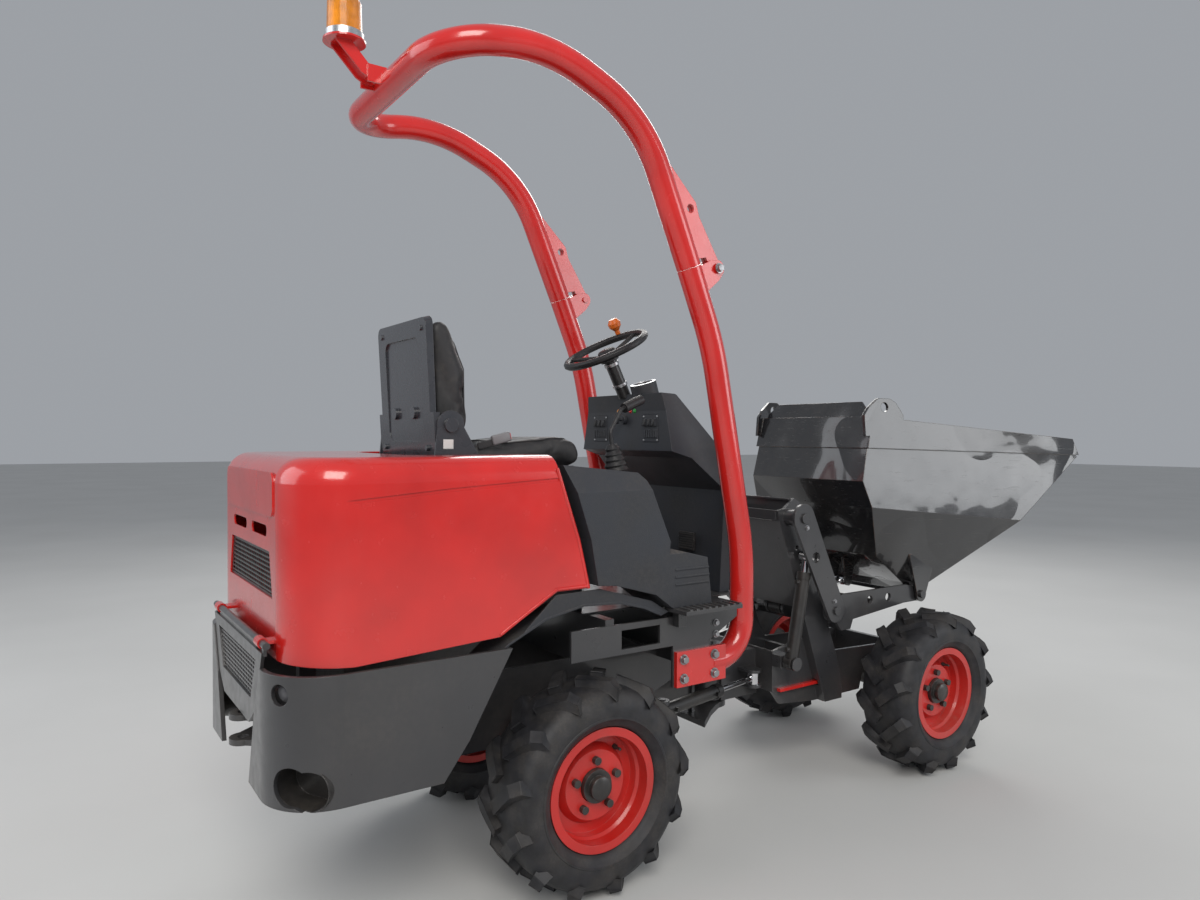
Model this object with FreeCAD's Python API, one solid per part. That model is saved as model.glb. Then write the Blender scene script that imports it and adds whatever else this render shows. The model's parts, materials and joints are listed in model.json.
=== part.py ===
import FreeCAD, Part
import os
from math import sin, cos, radians, sqrt, pi
from FreeCAD import Vector as V

os.makedirs("parts", exist_ok=True)

# Articulated high-tip site dumper. Millimetres. While modelling, X runs forward from the rear axle,
# Y to the left and Z up from the ground; save() moves every piece so that X = 0 is mid-length.

# Overall
rear_end_x = -863.0        # tip of the tow plates
front_end_x = 2504.0       # lip of the skip
mid_x = (rear_end_x + front_end_x) / 2.0
wheelbase = 1566.0
pivot_x = 783.0            # vertical articulation pin
play = 0.05                # radial clearance of a running pin
gap = 0.3                  # free space between neighbours that do not slide

# Wheels
tyre_r = 302.0
tread_floor = 278.0        # radius between the lugs
lug_top = 299.0            # radius at the middle of a lug; its ends reach tyre_r
lug_w = 27.0
lug_slant = radians(40)
lugs_per_side = 13
tyre_in = 280.0            # inner sidewall from the centre line
tyre_out = 490.0
rim_seat_r = 152.0
rim_flange_r = 170.0
rim_out = 464.0
rim_in = 306.0
disc_y = 424.0             # mounting face of the wheel disc
disc_t = 8.0
hub_r = 46.0
stud_pcd = 140.0
stud_count = 5
wheel_z = tyre_r

# Rear chassis
rail_y = 200.0
rail_t = 10.0
rail_low = 330.0
rail_top = 600.0
side_y = 384.0
side_t = 10.0
floor_z = 745.0
floor_t = 5.0
yoke_half = 120.0
yoke_t = 20.0
yoke_low = 300.0
yoke_high = 480.0
pin_r = 25.0

# Bonnet
bonnet_rear_x = -812.0
bonnet_half = 422.0
bonnet_top = 1215.0
bonnet_t = 5.0
bonnet_corner_r = 150.0
bonnet_edge_r = 62.0
seat_bay_half = 252.0
seat_bay_x = -470.0
hinge_bar_x = -838.0
hinge_bar_z = 776.0
hinge_bar_r = 13.0

# Bumper
bumper_rear_x = -850.0
bumper_half = 440.0
bumper_top = 722.0
bumper_low = 417.0
bumper_t = 12.0
bumper_corner_r = 150.0

# Roll frame
tube_r = 38.0
leg_y = 372.0
fold_x = 468.0
fold_z = 1784.0
fold_pin_r = 10.0
lug_t = 10.0

# Tower, lift gear and skip
post_y = 186.0
post_t = 14.0
top_x = 1000.0             # pivot of the lift arms
top_z = 975.0
arm_y = 264.0
arm_t = 12.0
arm_low_x = 1175.0         # pin joining arm and carrier
arm_low_z = 625.0
arm_pin_r = 16.0
link_dx = 60.0             # shift of the tie links from the arms
link_dz = 20.0
link_y = 150.0
link_t = 14.0
link_r = 24.0
link_pin_r = 12.0
carrier_y = 246.0
carrier_t = 12.0
hinge_x = 1690.0           # skip hinge
hinge_z = 634.0
hinge_pin_r = 15.0
hinge_boss_r = 30.0
lift_base_x = 985.0
lift_base_z = 450.0
lift_eye_x = 1062.0
lift_eye_z = 830.0
lift_y = 230.0
lift_pin_r = 14.0
tilt_base_x = 1160.0
tilt_base_z = 598.0
tilt_eye_x = 1530.0
tilt_eye_z = 669.0
tilt_pin_r = 12.0
steer_base_x = 386.0
steer_base_y = -235.0
steer_eye_x = 900.0
steer_eye_y = -125.0
steer_z = 385.0
skip_t = 5.0
rim_band_t = 12.0
eye_x = 1417.0             # lifting eye
eye_z = 1381.0
eye_r = 18.0

# Steering wheel
wheel_c = V(324.0, 0.0, 1558.0)
wheel_r = 152.0
wheel_tilt = 27.4
grip_r = 12.0


def move(shape, x=0.0, y=0.0, z=0.0):
    out = shape.copy()
    out.translate(V(x, y, z))
    return out


def mirror(shape):
    return shape.mirror(V(0, 0, 0), V(0, 1, 0))


def both(shape):
    return [shape, mirror(shape)]


def box(x0, x1, y0, y1, z0, z1):
    return Part.makeBox(x1 - x0, y1 - y0, z1 - z0, V(x0, y0, z0))


def face(points):
    return Part.Face(Part.makePolygon(points + [points[0]]))


def prism_xz(points, y0, y1):
    return face([V(x, y0, z) for x, z in points]).extrude(V(0, y1 - y0, 0))


def prism_xy(points, z0, z1):
    return face([V(x, y, z0) for x, y in points]).extrude(V(0, 0, z1 - z0))


def prism_yz(points, x0, x1):
    return face([V(x0, y, z) for y, z in points]).extrude(V(x1 - x0, 0, 0))


def rounded_yz(y0, y1, z0, z1, r, x0, x1):
    """Plate in the YZ plane with rounded corners."""
    body = box(x0, x1, y0, y1, z0, z1)
    return body.makeFillet(r, [e for e in body.Edges if abs(e.tangentAt(e.FirstParameter).x) > 0.9])


def rod(a, b, r):
    d = b - a
    return Part.makeCylinder(r, d.Length, a, d)


def ycyl(x, z, r, y0, y1):
    return Part.makeCylinder(r, y1 - y0, V(x, y0, z), V(0, 1, 0))


def zcyl(x, y, r, z0, z1):
    return Part.makeCylinder(r, z1 - z0, V(x, y, z0), V(0, 0, 1))


def xcyl(y, z, r, x0, x1):
    return Part.makeCylinder(r, x1 - x0, V(x0, y, z), V(1, 0, 0))


def fuse(shapes):
    first = shapes[0]
    if len(shapes) > 1:
        first = first.multiFuse(shapes[1:])
    return first.removeSplitter()


def cut(shape, tools):
    return shape.cut(Part.makeCompound(tools)) if len(tools) > 1 else shape.cut(tools[0])


def plate_between(a, b, ra, rb, y0, y1):
    """Link plate in the XZ plane with round ends of radius ra and rb."""
    ax, az = a
    bx, bz = b
    d = sqrt((bx - ax) ** 2 + (bz - az) ** 2)
    ux, uz = (bx - ax) / d, (bz - az) / d
    nx, nz = -uz, ux
    body = prism_xz(
        [(ax + nx * ra, az + nz * ra), (bx + nx * rb, bz + nz * rb),
         (bx - nx * rb, bz - nz * rb), (ax - nx * ra, az - nz * ra)], y0, y1)
    return fuse([body, ycyl(ax, az, ra, y0, y1), ycyl(bx, bz, rb, y0, y1)])


def pipe(points, radii, r, sides=0):
    """Bar along the points with a bend of the given radius at each inner point; sides makes it a prism."""
    pieces = []
    last = points[0]
    for i, bend_r in enumerate(radii):
        p = points[i + 1]
        a = (points[i] - p).normalize()
        b = (points[i + 2] - p).normalize()
        half = a.getAngle(b) / 2.0
        start = p + a * (bend_r * cos(half) / sin(half))
        end = p + b * (bend_r * cos(half) / sin(half))
        centre = p + (a + b).normalize() * (bend_r / sin(half))
        normal = a.cross(b).normalize() * -1.0
        pieces.append(bar_face(last, start - last, normal, r, sides).extrude(start - last))
        ring = bar_face(start, a * -1.0, normal, r, sides)
        pieces.append(ring.revolve(centre, normal, 180.0 - 360.0 * half / pi))
        last = end
    d = points[-1] - last
    side_way = V(0, 1, 0) if abs(d.y) < 0.9 * d.Length else V(1, 0, 0)
    pieces.append(bar_face(last, d, side_way, r, sides).extrude(d))
    return fuse(pieces) if len(pieces) > 1 else pieces[0]


def bar_face(at, way, normal, r, sides):
    """Section of a bar at a point: a disc, or a polygon with the given number of sides."""
    way = V(way)
    way.normalize()
    if not sides:
        return Part.Face(Part.Wire([Part.Circle(at, way, r).toShape()]))
    u = (V(normal) - way * way.dot(normal)).normalize()
    w = way.cross(u)
    ring = []
    for k in range(sides):
        t = 2 * pi * (k + 0.5) / sides
        ring.append(at + u * (r * cos(t)) + w * (r * sin(t)))
    return face(ring)


def turned(profile, base, axis):
    """Solid of revolution of (radius, height) points, standing at base along axis."""
    body = face([V(a, 0, b) for a, b in profile]).revolve(V(0, 0, 0), V(0, 0, 1), 360)
    body.Placement = FreeCAD.Placement(base, FreeCAD.Rotation(V(0, 0, 1), axis))
    return body


def solids(shape):
    return shape.Solids


def save(name, shapes):
    if not isinstance(shapes, list):
        shapes = [shapes]
    parts = []
    for s in shapes:
        parts += solids(s)
    out = parts[0] if len(parts) == 1 else Part.makeCompound(parts)
    out = move(out, -mid_x, 0, 0)
    out.exportStep("parts/" + name + ".step")


# Wheels

def carcass():
    """Tyre body as a ring of flat facets, one per lug, about the Y axis."""
    facets = 2 * lugs_per_side
    bead = rim_seat_r / cos(pi / facets)
    section = [  # radius, y
        (bead, rim_in + 9), (rim_flange_r + 6, rim_in + 2), (225, tyre_in + 2), (tread_floor, tyre_in + 30),
        (tread_floor, tyre_out - 30), (225, tyre_out - 2), (rim_flange_r + 6, rim_out - 4),
        (bead, rim_out - 9)]
    faces = []
    for k in range(facets):
        a0 = 2 * pi * (k - 0.5) / facets
        a1 = 2 * pi * (k + 0.5) / facets
        for i in range(len(section)):
            r0, y0 = section[i - 1]
            r1, y1 = section[i]
            faces.append(face([V(r0 * sin(a0), y0, r0 * cos(a0)), V(r1 * sin(a0), y1, r1 * cos(a0)),
                               V(r1 * sin(a1), y1, r1 * cos(a1)), V(r0 * sin(a1), y0, r0 * cos(a1))]))
    body = Part.makeSolid(Part.makeShell(faces))
    if body.Volume < 0:
        body.reverse()
    return body


def tread_lug(turn, hand):
    """One slanted lug; turn is its angle about the axle, hand the shoulder that it runs to."""
    profile = [(-58, tread_floor - 9), (-54, lug_top), (50, lug_top), (67, lug_top - 16), (70, 250),
               (40, 262)]
    up = V(sin(turn), 0, cos(turn))
    along = V(0, hand, 0) * cos(lug_slant) + V(cos(turn), 0, -sin(turn)) * sin(lug_slant)
    across = along.cross(up)
    base = V(0, (tyre_in + tyre_out) / 2 + hand * 48, 0) - across * (lug_w / 2)
    return face([base + along * u + up * r for u, r in profile]).extrude(across * lug_w)


def lugged_tyre():
    lugs = []
    for k in range(lugs_per_side):
        lugs.append(tread_lug(2 * pi * k / lugs_per_side, 1))
        lugs.append(tread_lug(2 * pi * (k + 0.5) / lugs_per_side, -1))
    return carcass().multiFuse(lugs).removeSplitter()


def rim(x, side):
    """Drop-centre rim with a dished disc; sections are (radius, y)."""
    t = 5.0
    seat = rim_seat_r - gap
    barrel = [(rim_flange_r, rim_in - 5), (rim_flange_r, rim_in), (seat, rim_in), (seat, rim_out),
              (rim_flange_r, rim_out),
              (rim_flange_r, rim_out + 5), (seat - t, rim_out + 5), (seat - t, 432), (seat - 12, 424),
              (seat - 12, 340),
              (seat - t, 332), (seat - t, rim_in - 5)]
    disc = [(hub_r + 1, disc_y), (96, disc_y), (112, disc_y - 26), (seat - 11, disc_y - 26),
            (seat - 11, disc_y - 26 - disc_t), (107, disc_y - 26 - disc_t), (91, disc_y - disc_t),
            (hub_r + 1, disc_y - disc_t)]
    rings = [face([V(r, y * side, 0) for r, y in pts]).revolve(V(0, 0, 0), V(0, 1, 0),
                                                               360) for pts in (barrel, disc)]
    return move(fuse(rings), x, 0, wheel_z)


wheel_table = [  # name, axle x, side
    ("rl", 0.0, 1), ("rr", 0.0, -1), ("fl", wheelbase, 1), ("fr", wheelbase, -1)]
tyre_left = lugged_tyre()
for name, ax, side in wheel_table:
    save("tyre_" + name, move(tyre_left if side > 0 else mirror(tyre_left), ax, 0, wheel_z))
    save("rim_" + name, rim(ax, side))
    hub_parts = [ycyl(0, 0, 80, disc_y - disc_t - 20, disc_y - disc_t), ycyl(0, 0, hub_r, disc_y - disc_t,
                                                                             disc_y + 14),
                 ycyl(0, 0, 30, disc_y + 14, disc_y + 24)]
    hub = fuse(hub_parts)
    bolts = []
    for i in range(stud_count):
        a = radians(90 + 360 * i / stud_count)
        bx, bz = stud_pcd / 2 * cos(a), stud_pcd / 2 * sin(a)
        bolts.append(ycyl(bx, bz, 11, disc_y, disc_y + 16))
    hub = cut(hub, [ycyl(0, 0, 30 + play, disc_y - 40, disc_y - 14)])
    piece = [hub] + bolts
    if side < 0:
        piece = [mirror(p) for p in piece]
    save("hub_" + name, [move(p, ax, 0, wheel_z) for p in piece])


def axle(x):
    beam = fuse([ycyl(0, 0, 48, -250, 250)] + both(ycyl(0, 0, 70, 215, 262))
                + both(ycyl(0, 0, 55, 262, disc_y - disc_t - 20 - 6)) + both(ycyl(0, 0, 30, 300,
                                                                                  disc_y - 16)))
    return move(beam, x, 0, wheel_z)


save("rear_axle", axle(0.0))

# Rear chassis

rails = both(prism_xz([(-760, rail_top), (-760, 430), (-560, 380), (-120, 380), (-60, rail_low),
                       (342, rail_low),
                       (342, 430), (560, 520), (560, rail_top)], rail_y, rail_y + rail_t))
cross = [box(-760, -748, -rail_y, rail_y, 430, rail_top), box(330, 342, -rail_y, rail_y, rail_low, rail_top),
         box(628, 640, -100, 140, 290, 500),
         box(-560, -530, -rail_y, rail_y, 395, 420 - gap), box(-240, -210, -rail_y, rail_y, 395, 420 - gap),
         box(-190, -165, -rail_y - 5, rail_y + 5, 590, floor_z + floor_t)]
cross += both(box(342, 640, 80, 90, 300, 480))
saddles = both(box(-60, 60, rail_y - 30, rail_y + rail_t, 330, 400))
yokes = []
for z0 in (yoke_low - yoke_t, yoke_high):
    slab = prism_xy([(600, -200), (600, 200), (700, yoke_half), (pivot_x, 70), (pivot_x, -70),
                     (700, -yoke_half)],
                    z0, z0 + yoke_t)
    yokes.append(fuse([slab, zcyl(pivot_x, 0, 70, z0, z0 + yoke_t)]))
pin = zcyl(pivot_x, 0, pin_r, yoke_low - yoke_t - 12, yoke_high + yoke_t + 12)
side_outline = [(-60, 728), (-60, 640), (300, 640), (300, 515), (445, 515), (445, 640), (560, 700),
                (560, 728)]
side_plates = both(prism_xz(side_outline, side_y, side_y + side_t))
window = both(box(110, 250, side_y - 2, side_y + side_t + 2, 655, 710))
side_plates = [s.cut(Part.makeCompound(window)) for s in side_plates]
bearers = [box(60, 90, -side_y, side_y, 640, floor_z - gap), box(380, 410, -side_y, side_y, 560,
                                                                 floor_z - gap),
           box(560, 650, -200, 200, 715, floor_z - gap), box(545, 560, -side_y, side_y, 700, floor_z - gap),
           box(60, 90, -rail_y, rail_y, rail_top - 10, 640), box(545, 560, -rail_y, rail_y, 560, 705)]
rear_post = both(box(-740, -700, rail_y - 20, rail_y + rail_t, rail_top - 10, 760))
tow_back = box(-775, -760, -130, 130, 430, 600)
tow_plates = []
for z0 in (462.0, 527.0):
    tp = prism_xy([(-765, -90), (-765, 90), (-835, 30), (-835, -30)], z0, z0 + 15)
    tp = fuse([tp, zcyl(rear_end_x + 34, 0, 34, z0, z0 + 15)])
    tow_plates.append(tp)
steer_lugs = [fuse([prism_xy([(290, -204), (341, -204), (405, -222), (395, -255), (372, -255),
                              (290, -212)], z0, z0 + 12),
                    zcyl(steer_base_x, steer_base_y, 24, z0, z0 + 12)]) for z0 in (steer_z - 36,
                                                                                   steer_z + 24)]
steer_pin = zcyl(steer_base_x, steer_base_y, 12, steer_z - 40, steer_z + 40)
chassis = fuse(rails + cross + saddles + yokes + [pin] + side_plates + bearers + rear_post + [tow_back]
               + tow_plates + steer_lugs + [steer_pin])
chassis = cut(chassis, [zcyl(rear_end_x + 34, 0, 13, 440, 560), ycyl(0, wheel_z, 48 + gap, -213, 213)])
save("rear_chassis", chassis)

floor = fuse([box(40, 655, -296, 296, floor_z, floor_z + floor_t), box(262, 540, -350, 350, floor_z,
                                                                       floor_z + floor_t),
              box(60 + gap, 65, -254, 254, floor_z, 900)])
save("floor_plate", floor)

save("engine", box(-620, -200, -180, 180, 420, 900))

# Bumper


def bumper_solid(t):
    body = box(bumper_rear_x + t, -200, -bumper_half + t, bumper_half - t, bumper_low - 40, bumper_top + 40)
    rear = [e for e in body.Edges
            if abs(e.tangentAt(e.FirstParameter).z) > 0.9 and e.CenterOfMass.x < bumper_rear_x + t + 1]
    return body.makeFillet(bumper_corner_r - t, rear)


bumper_outline = [(-900, bumper_low), (-456, bumper_low), (-387, 510), (-267, bumper_top), (-900, bumper_top)]
bumper = bumper_solid(0).common(prism_xz(bumper_outline, -500, 500)).cut(bumper_solid(bumper_t))
rear_bay = prism_yz([(-225, 600), (-300, 760), (300, 760), (225, 600), (160, 400), (-160, 400)], -900, -780)
bumper = cut(bumper, [rear_bay])
hole_tools = []
for side in (1, -1):
    base = V(-740, side * 300, 678)
    out = V(-830, side * 372, 678)
    hole_tools.append(rod(base, base + (out - base) * 2.2, 25))
    low = V(-700, side * 310, 470)
    out2 = V(-800, side * 385, 470)
    slot = rod(low, low + (out2 - low) * 2.2, 46)
    hole_tools.append(slot)
    hole_tools.append(move(slot, 30, side * 26, -8))
bumper = cut(bumper, hole_tools)
shelf = bumper_solid(0).common(box(-900, -316, -500, 500, bumper_top - 22, bumper_top - 14))
shelf = shelf.cut(box(-900, -200, -380, 380, 600, 800)).cut(box(-900, -700, -300, 300, 600, 800))
bumper = fuse([bumper, shelf])
ties = both(box(-560, -530, rail_y + rail_t, bumper_half - 6, 440, 500))
bumper = fuse([bumper] + ties)
save("bumper", bumper)

guard_outline = [(-215, 604), (-288, 758), (288, 758), (215, 604), (150, 560), (-150, 560)]
guard = prism_yz(guard_outline, -846, -838)
guard_window = prism_yz([(-170, 625), (-225, 730), (225, 730), (170, 625)], -860, -830)
guard = guard.cut(guard_window)
guard_feet = both(box(-838, -740, 180, 200, 605, 640))
guard = fuse([guard] + guard_feet)
mesh = []
for i in range(10):
    z = 628.0 + 11.0 * i
    half = 168 + (z - 625) * 0.53
    mesh.append(box(-841, -838, -half - 4, half + 4, z, z + 4))
for i in range(23):
    y = -209.0 + 19.0 * i
    low = 622 if abs(y) < 168 else 622 + (abs(y) - 168) * 1.95
    mesh.append(box(-841, -838, y - 2, y + 2, low, 733))
bar = ycyl(hinge_bar_x, hinge_bar_z, hinge_bar_r - 4, -300, 300)
bar_seats = [box(-842, -834, -218, 218, 750, hinge_bar_z)] + both(box(-842, -834, 272, 290, 750, hinge_bar_z))
save("radiator_guard", fuse([guard, bar] + mesh + bar_seats))

# Bonnet


def bonnet_solid(t):
    body = box(bonnet_rear_x + t, 200, -bonnet_half + t, bonnet_half - t, 600, bonnet_top - t)
    rear = [e for e in body.Edges
            if abs(e.tangentAt(e.FirstParameter).z) > 0.9 and e.CenterOfMass.x < bonnet_rear_x + t + 1]
    body = body.makeFillet(bonnet_corner_r - t, rear)
    top = [e for e in body.Edges if e.BoundBox.ZMin > bonnet_top - t - 1 and e.CenterOfMass.x < 190]
    return body.makeFillet(bonnet_edge_r - t, top)


bonnet_outline = [(-900, 740), (-670, 730), (-294, 751), (-123, 850), (-17, 850), (-50, 984), (-118, 1180),
                  (-124, 1300), (-900, 1300)]
bonnet = bonnet_solid(0).common(prism_xz(bonnet_outline, -500, 500)).cut(bonnet_solid(bonnet_t))
bay = box(seat_bay_x, 300, -seat_bay_half, seat_bay_half, 1000, 1300)
bay_edges = [e for e in bay.Edges if abs(e.tangentAt(e.FirstParameter).z) > 0.9 and e.CenterOfMass.x < seat_bay_x + 1]
bay = bay.makeFillet(90, bay_edges)
bonnet = bonnet.cut(bay)
crease = [(bonnet_rear_x - 9, 1096), (-430, 1128), (-60, 1150), (-60, 1158), (-430, 1136),
          (bonnet_rear_x - 9, 1104)]
groove = both(prism_xz(crease, bonnet_half - 2.5, bonnet_half + 20))
bonnet = cut(bonnet, groove)
lip_line = [(-17, 850), (-50, 984), (-118, 1180)]
lip = []
for (x0, z0), (x1, z1) in zip(lip_line, lip_line[1:]):
    lip.append(rod(V(x0 - 6, bonnet_half - 1, z0), V(x1 - 6, bonnet_half - 1, z1), 5))
lip.append(rod(V(-294, bonnet_half - 1, 756), V(-125, bonnet_half - 1, 856), 5))
lip.append(rod(V(-125, bonnet_half - 1, 856), V(-23, bonnet_half - 1, 856), 5))
lip_cover = both(fuse(lip))
name_area = rounded_yz(-262, 262, 1070, 1178, 26, bonnet_rear_x - 4, bonnet_rear_x + 2)
grille_hole = prism_yz([(-215, 985), (-245, 875), (245, 875), (215, 985)], -900, -780)
vent_holes = both(rounded_yz(30, 190, 1018, 1046, 13, -900, -780))
bonnet = cut(bonnet, [grille_hole] + vent_holes)
knuckle = both(ycyl(hinge_bar_x, hinge_bar_z, hinge_bar_r, 225, 265))
straps = both(box(hinge_bar_x, -790, 225, 265, hinge_bar_z - 4, hinge_bar_z + 4))
bonnet = fuse([bonnet, name_area] + knuckle + straps + lip_cover)
bonnet = cut(bonnet, [ycyl(hinge_bar_x, hinge_bar_z, hinge_bar_r - 4 + play, -400, 400)])
save("bonnet", bonnet)
mesh_x = bonnet_rear_x + bonnet_t + gap
grille = [prism_yz([(-228, 992), (-256, 868), (256, 868), (228, 992)], mesh_x, mesh_x + 2).cut(
    prism_yz([(-206, 980), (-234, 880), (234, 880), (206, 980)], mesh_x - 1, mesh_x + 3))]
for i in range(9):
    z = 884.0 + 11.5 * i
    grille.append(box(mesh_x, mesh_x + 2, -236 + 2.4 * i, 236 - 2.4 * i, z, z + 4))
for i in range(21):
    y = -200.0 + 20.0 * i
    grille.append(box(mesh_x, mesh_x + 2, y - 2, y + 2, 878, 984))
save("bonnet_grille", fuse(grille))

# Mudguards

arch_r = 505.0


def arch(r, deg):
    a = radians(deg)
    return (r * cos(a), wheel_z + r * sin(a))


arch_pts = [arch(arch_r, d) for d in (167, 150, 135, 122, 108, 94, 80, 70, 62)]
arch_in = [arch(arch_r - 6, d) for d in (62, 70, 80, 94, 108, 122, 135, 150, 167)]
strip = both(prism_xz(arch_pts + arch_in, 300, 420))
flange = both(prism_xz([arch(arch_r - 6, d) for d in (62, 70, 80, 94, 108, 122, 135, 150, 165)]
                       + [(-450, 430), (-256, 722), (-123, 840), (20, 842), (200, 790), (262, 752)], 412,
                       418))
save("mudguards", [fuse([s, f]) for s, f in zip(strip, flange)])

# Side consoles, steps and controls

console_profile = [(-2, 856), (60, 850), (200, 810), (262, 764 + gap), (412, 764 + gap), (394, 905),
                   (262, 938),
                   (172, 1141), (148, 1163), (-96, 1188), (-26, 984)]
console_hollow = [(8, 864), (64, 858), (204, 818), (268, 771), (402, 771), (386, 897), (254, 930),
                  (164, 1135),
                  (144, 1155), (-86, 1178), (-16, 984)]
console = prism_xz(console_profile, 255 + gap, 440)
facet = prism_yz([(400, 1200), (442, 1110), (442, 1200)], -300, 190)
edge_facet = prism_yz([(424, 940), (442, 922), (442, 960)], 250, 420)
console = console.cut(facet).cut(edge_facet)
console_void = prism_xz(console_hollow, 250, 434).cut(move(facet, 0, -7, -4)).cut(move(edge_facet, 0, -7, -4))
console = console.cut(console_void)
tray_rib = []
for z in (830, 852, 874):
    tray_rib.append(box(270, 400, 439, 443, z, z + 5))
console = fuse([console] + [t.common(prism_xz(console_profile, 200, 500)) for t in tray_rib])
save("side_consoles", both(console))
seat_box = box(-190, 60, -255, 255, floor_z + floor_t + gap, 1130).cut(box(-184, 54, -249, 249, 700, 1124))
save("seat_box", seat_box)

tread = []
for i in range(9):
    tread.append(box(280 + 24 * i, 290 + 24 * i, 446, 496, 763, 768))
step_plate = fuse([box(262, 482, 400, 500, 752, 764)] + tread)
step = both(step_plate)
step_arm = both(box(300, 330, side_y + side_t, 420, 700, 753))
save("steps", [fuse([a, b]) for a, b in zip(step, step_arm)])

boot_profile = [(0, 0), (36, 0), (30, 10), (33, 16), (27, 26), (30, 32), (24, 42), (27, 48), (20, 58),
                (23, 64),
                (14, 78), (0, 78)]
boot = turned(boot_profile, V(128, -340, 1166), V(-0.15, 0.1, 0.98))
lever = pipe([V(116, -332, 1240), V(112, -330, 1280), V(158, -320, 1346), V(243, -305, 1377)], [18, 24], 6)
grip = pipe([V(170, -318, 1350), V(243, -305, 1377)], [], 15)
console_top = prism_xz([(300, 900), (148, 1163 + gap), (-108, 1188 + gap), (-200, 900)], -500, 500)
save("control_lever", fuse([boot.cut(console_top), lever, grip]))
pedals = both(fuse([box(572, 580, 90, 170, 880, 940), box(580, 595 - gap, 120, 140, 904, 916)]))
save("pedals", [p for p in pedals])

# Seat

cushion = prism_xz([(-270, 1180), (96, 1180), (112, 1205), (108, 1240), (80, 1260), (20, 1262), (-150, 1245),
                    (-270, 1250)], -205, 205)
save("seat_cushion", cushion)
seat_low = 1130 + gap
recliner = fuse([prism_xz([(-392, seat_low), (-240, seat_low), (-240, 1190), (-298, 1290), (-376, 1290)],
                          208, 214),
                 ycyl(-337, 1295, 40, 208, 214)])
save("seat_base", fuse([box(-240, 70, -170, 170, seat_low, 1180 - gap),
                        box(-250, -230, -214, 214, seat_low, 1150),
                        box(40, 60, -214, 214, seat_low, 1150)]
                       + both(recliner) + both(rod(V(-337, 208, 1295), V(-337, 222, 1295), 20))
                       + both(box(-240, 60, 208, 214, seat_low, 1178))))
back = prism_xz([(-362, 1215), (-300, 1205), (-262, 1290), (-262, 1450), (-320, 1585), (-350, 1600),
                 (-377.5, 1580)],
                -180, 180)
save("seat_back", back)
pan_line = [(-362 - gap, 1215), (-377.5 - gap, 1580), (-378.5, 1596), (-400, 1590), (-378, 1206)]
low_line = [(-362 - gap, 1215), (-367.4, 1330), (-385.2, 1330), (-378, 1206)]
pan = fuse([prism_xz(pan_line, -184, 184), prism_xz(low_line, -208 + gap, 208 - gap)])
pan_corners = []
for e in pan.Edges:
    if e.CenterOfMass.z > 1585 and abs(e.CenterOfMass.y) > 180 and abs(e.tangentAt(e.FirstParameter).x) > 0.5:
        pan_corners.append(e)
pan = pan.makeFillet(26, pan_corners)
recess = prism_xz([(-385 + 12, 1250), (-396, 1250), (-410, 1540), (-397 + 12 - 3, 1540)], -130, 130)
recess = recess.makeFillet(30, [e for e in recess.Edges if abs(e.tangentAt(e.FirstParameter).x) > 0.9])
pan = pan.cut(recess.common(prism_xz([(-376, 1200), (-420, 1200), (-420, 1600), (-394, 1600)], -200, 200)))
stops = both(rod(V(-378, 70, 1330), V(-391, 70, 1330), 17)) + both(rod(V(-390, 150, 1562),
                                                                       V(-403, 150, 1562), 8))
stops += both(rod(V(-376, 160, 1232), V(-387, 160, 1232), 8))
pan = fuse([pan] + stops)
save("seat_shell", pan)

# Dash and steering column

dash_foot = floor_z + floor_t + gap
dash_outline = [(395, 1408), (455, 1405), (668, 1165), (640, dash_foot), (600, dash_foot), (590, 1090),
                (480, 1196),
                (405, 1219), (404, 1350)]
dash_hollow = [(402, 1401), (452, 1398), (661, 1163), (633, 700), (607, 700), (597, 1094), (484, 1203),
               (412, 1225),
               (411, 1350)]


def dash_taper(shrink):
    """Plan and front outline of the dash: narrow at the top, flared to the knees, straight below."""
    half = 255 - shrink
    outline = [(half, 600), (half + 42, 1060), (half + 42, 1110), (half, 1225), (half - 46, 1420),
               (46 - half, 1420),
               (-half, 1225), (-half - 42, 1110), (-half - 42, 1060), (-half, 600)]
    return prism_yz(outline, 300, 720)


dash = prism_xz(dash_outline, -320, 320).common(dash_taper(0))
top_edges = []
for e in dash.Edges:
    if e.CenterOfMass.z > 1400 and e.CenterOfMass.x > 420 and abs(e.tangentAt(e.FirstParameter).y) > 0.9:
        top_edges.append(e)
dash = dash.makeFillet(16, top_edges)
dash = dash.cut(prism_xz(dash_hollow, -320, 320).common(dash_taper(7)))
switch_bed = both(box(380, 409, 104, 186, 1248, 1338))
dash = cut(dash, switch_bed)
save("dash", dash)
pod_axis = V(-0.3, 0, 0.95)
pod = Part.makeCylinder(45, 62, V(440, -80, 1385), pod_axis).cut(prism_xz(dash_outline, -255, 255))
pod = max(pod.Solids, key=lambda q: q.BoundBox.ZMax)
pod = pod.cut(Part.makeCylinder(38, 10, V(440, -80, 1385) + pod_axis * 58, pod_axis))
panel = fuse([box(403, 409 - gap, 104 + gap, 186 - gap, 1248 + gap, 1338 - gap)]
             + [box(394, 404, 112 + 24 * i, 128 + 24 * i, 1300, 1324) for i in range(3)]
             + [box(399, 404, 114 + 12 * i, 120 + 12 * i, 1262, 1288) for i in range(6)])
ignition = xcyl(0, 1323, 16, 392, 404 - gap)
key = fuse([xcyl(0, 1323, 5, 372, 393), rounded_yz(-11, 11, 1308, 1338, 8, 356, 373)])
save("dash_controls", [pod, panel, mirror(panel), fuse([ignition, key])])
wt = radians(wheel_tilt)
axis_dir = V(-sin(wt), 0, cos(wt))
col_low = wheel_c - axis_dir * 175
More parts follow.
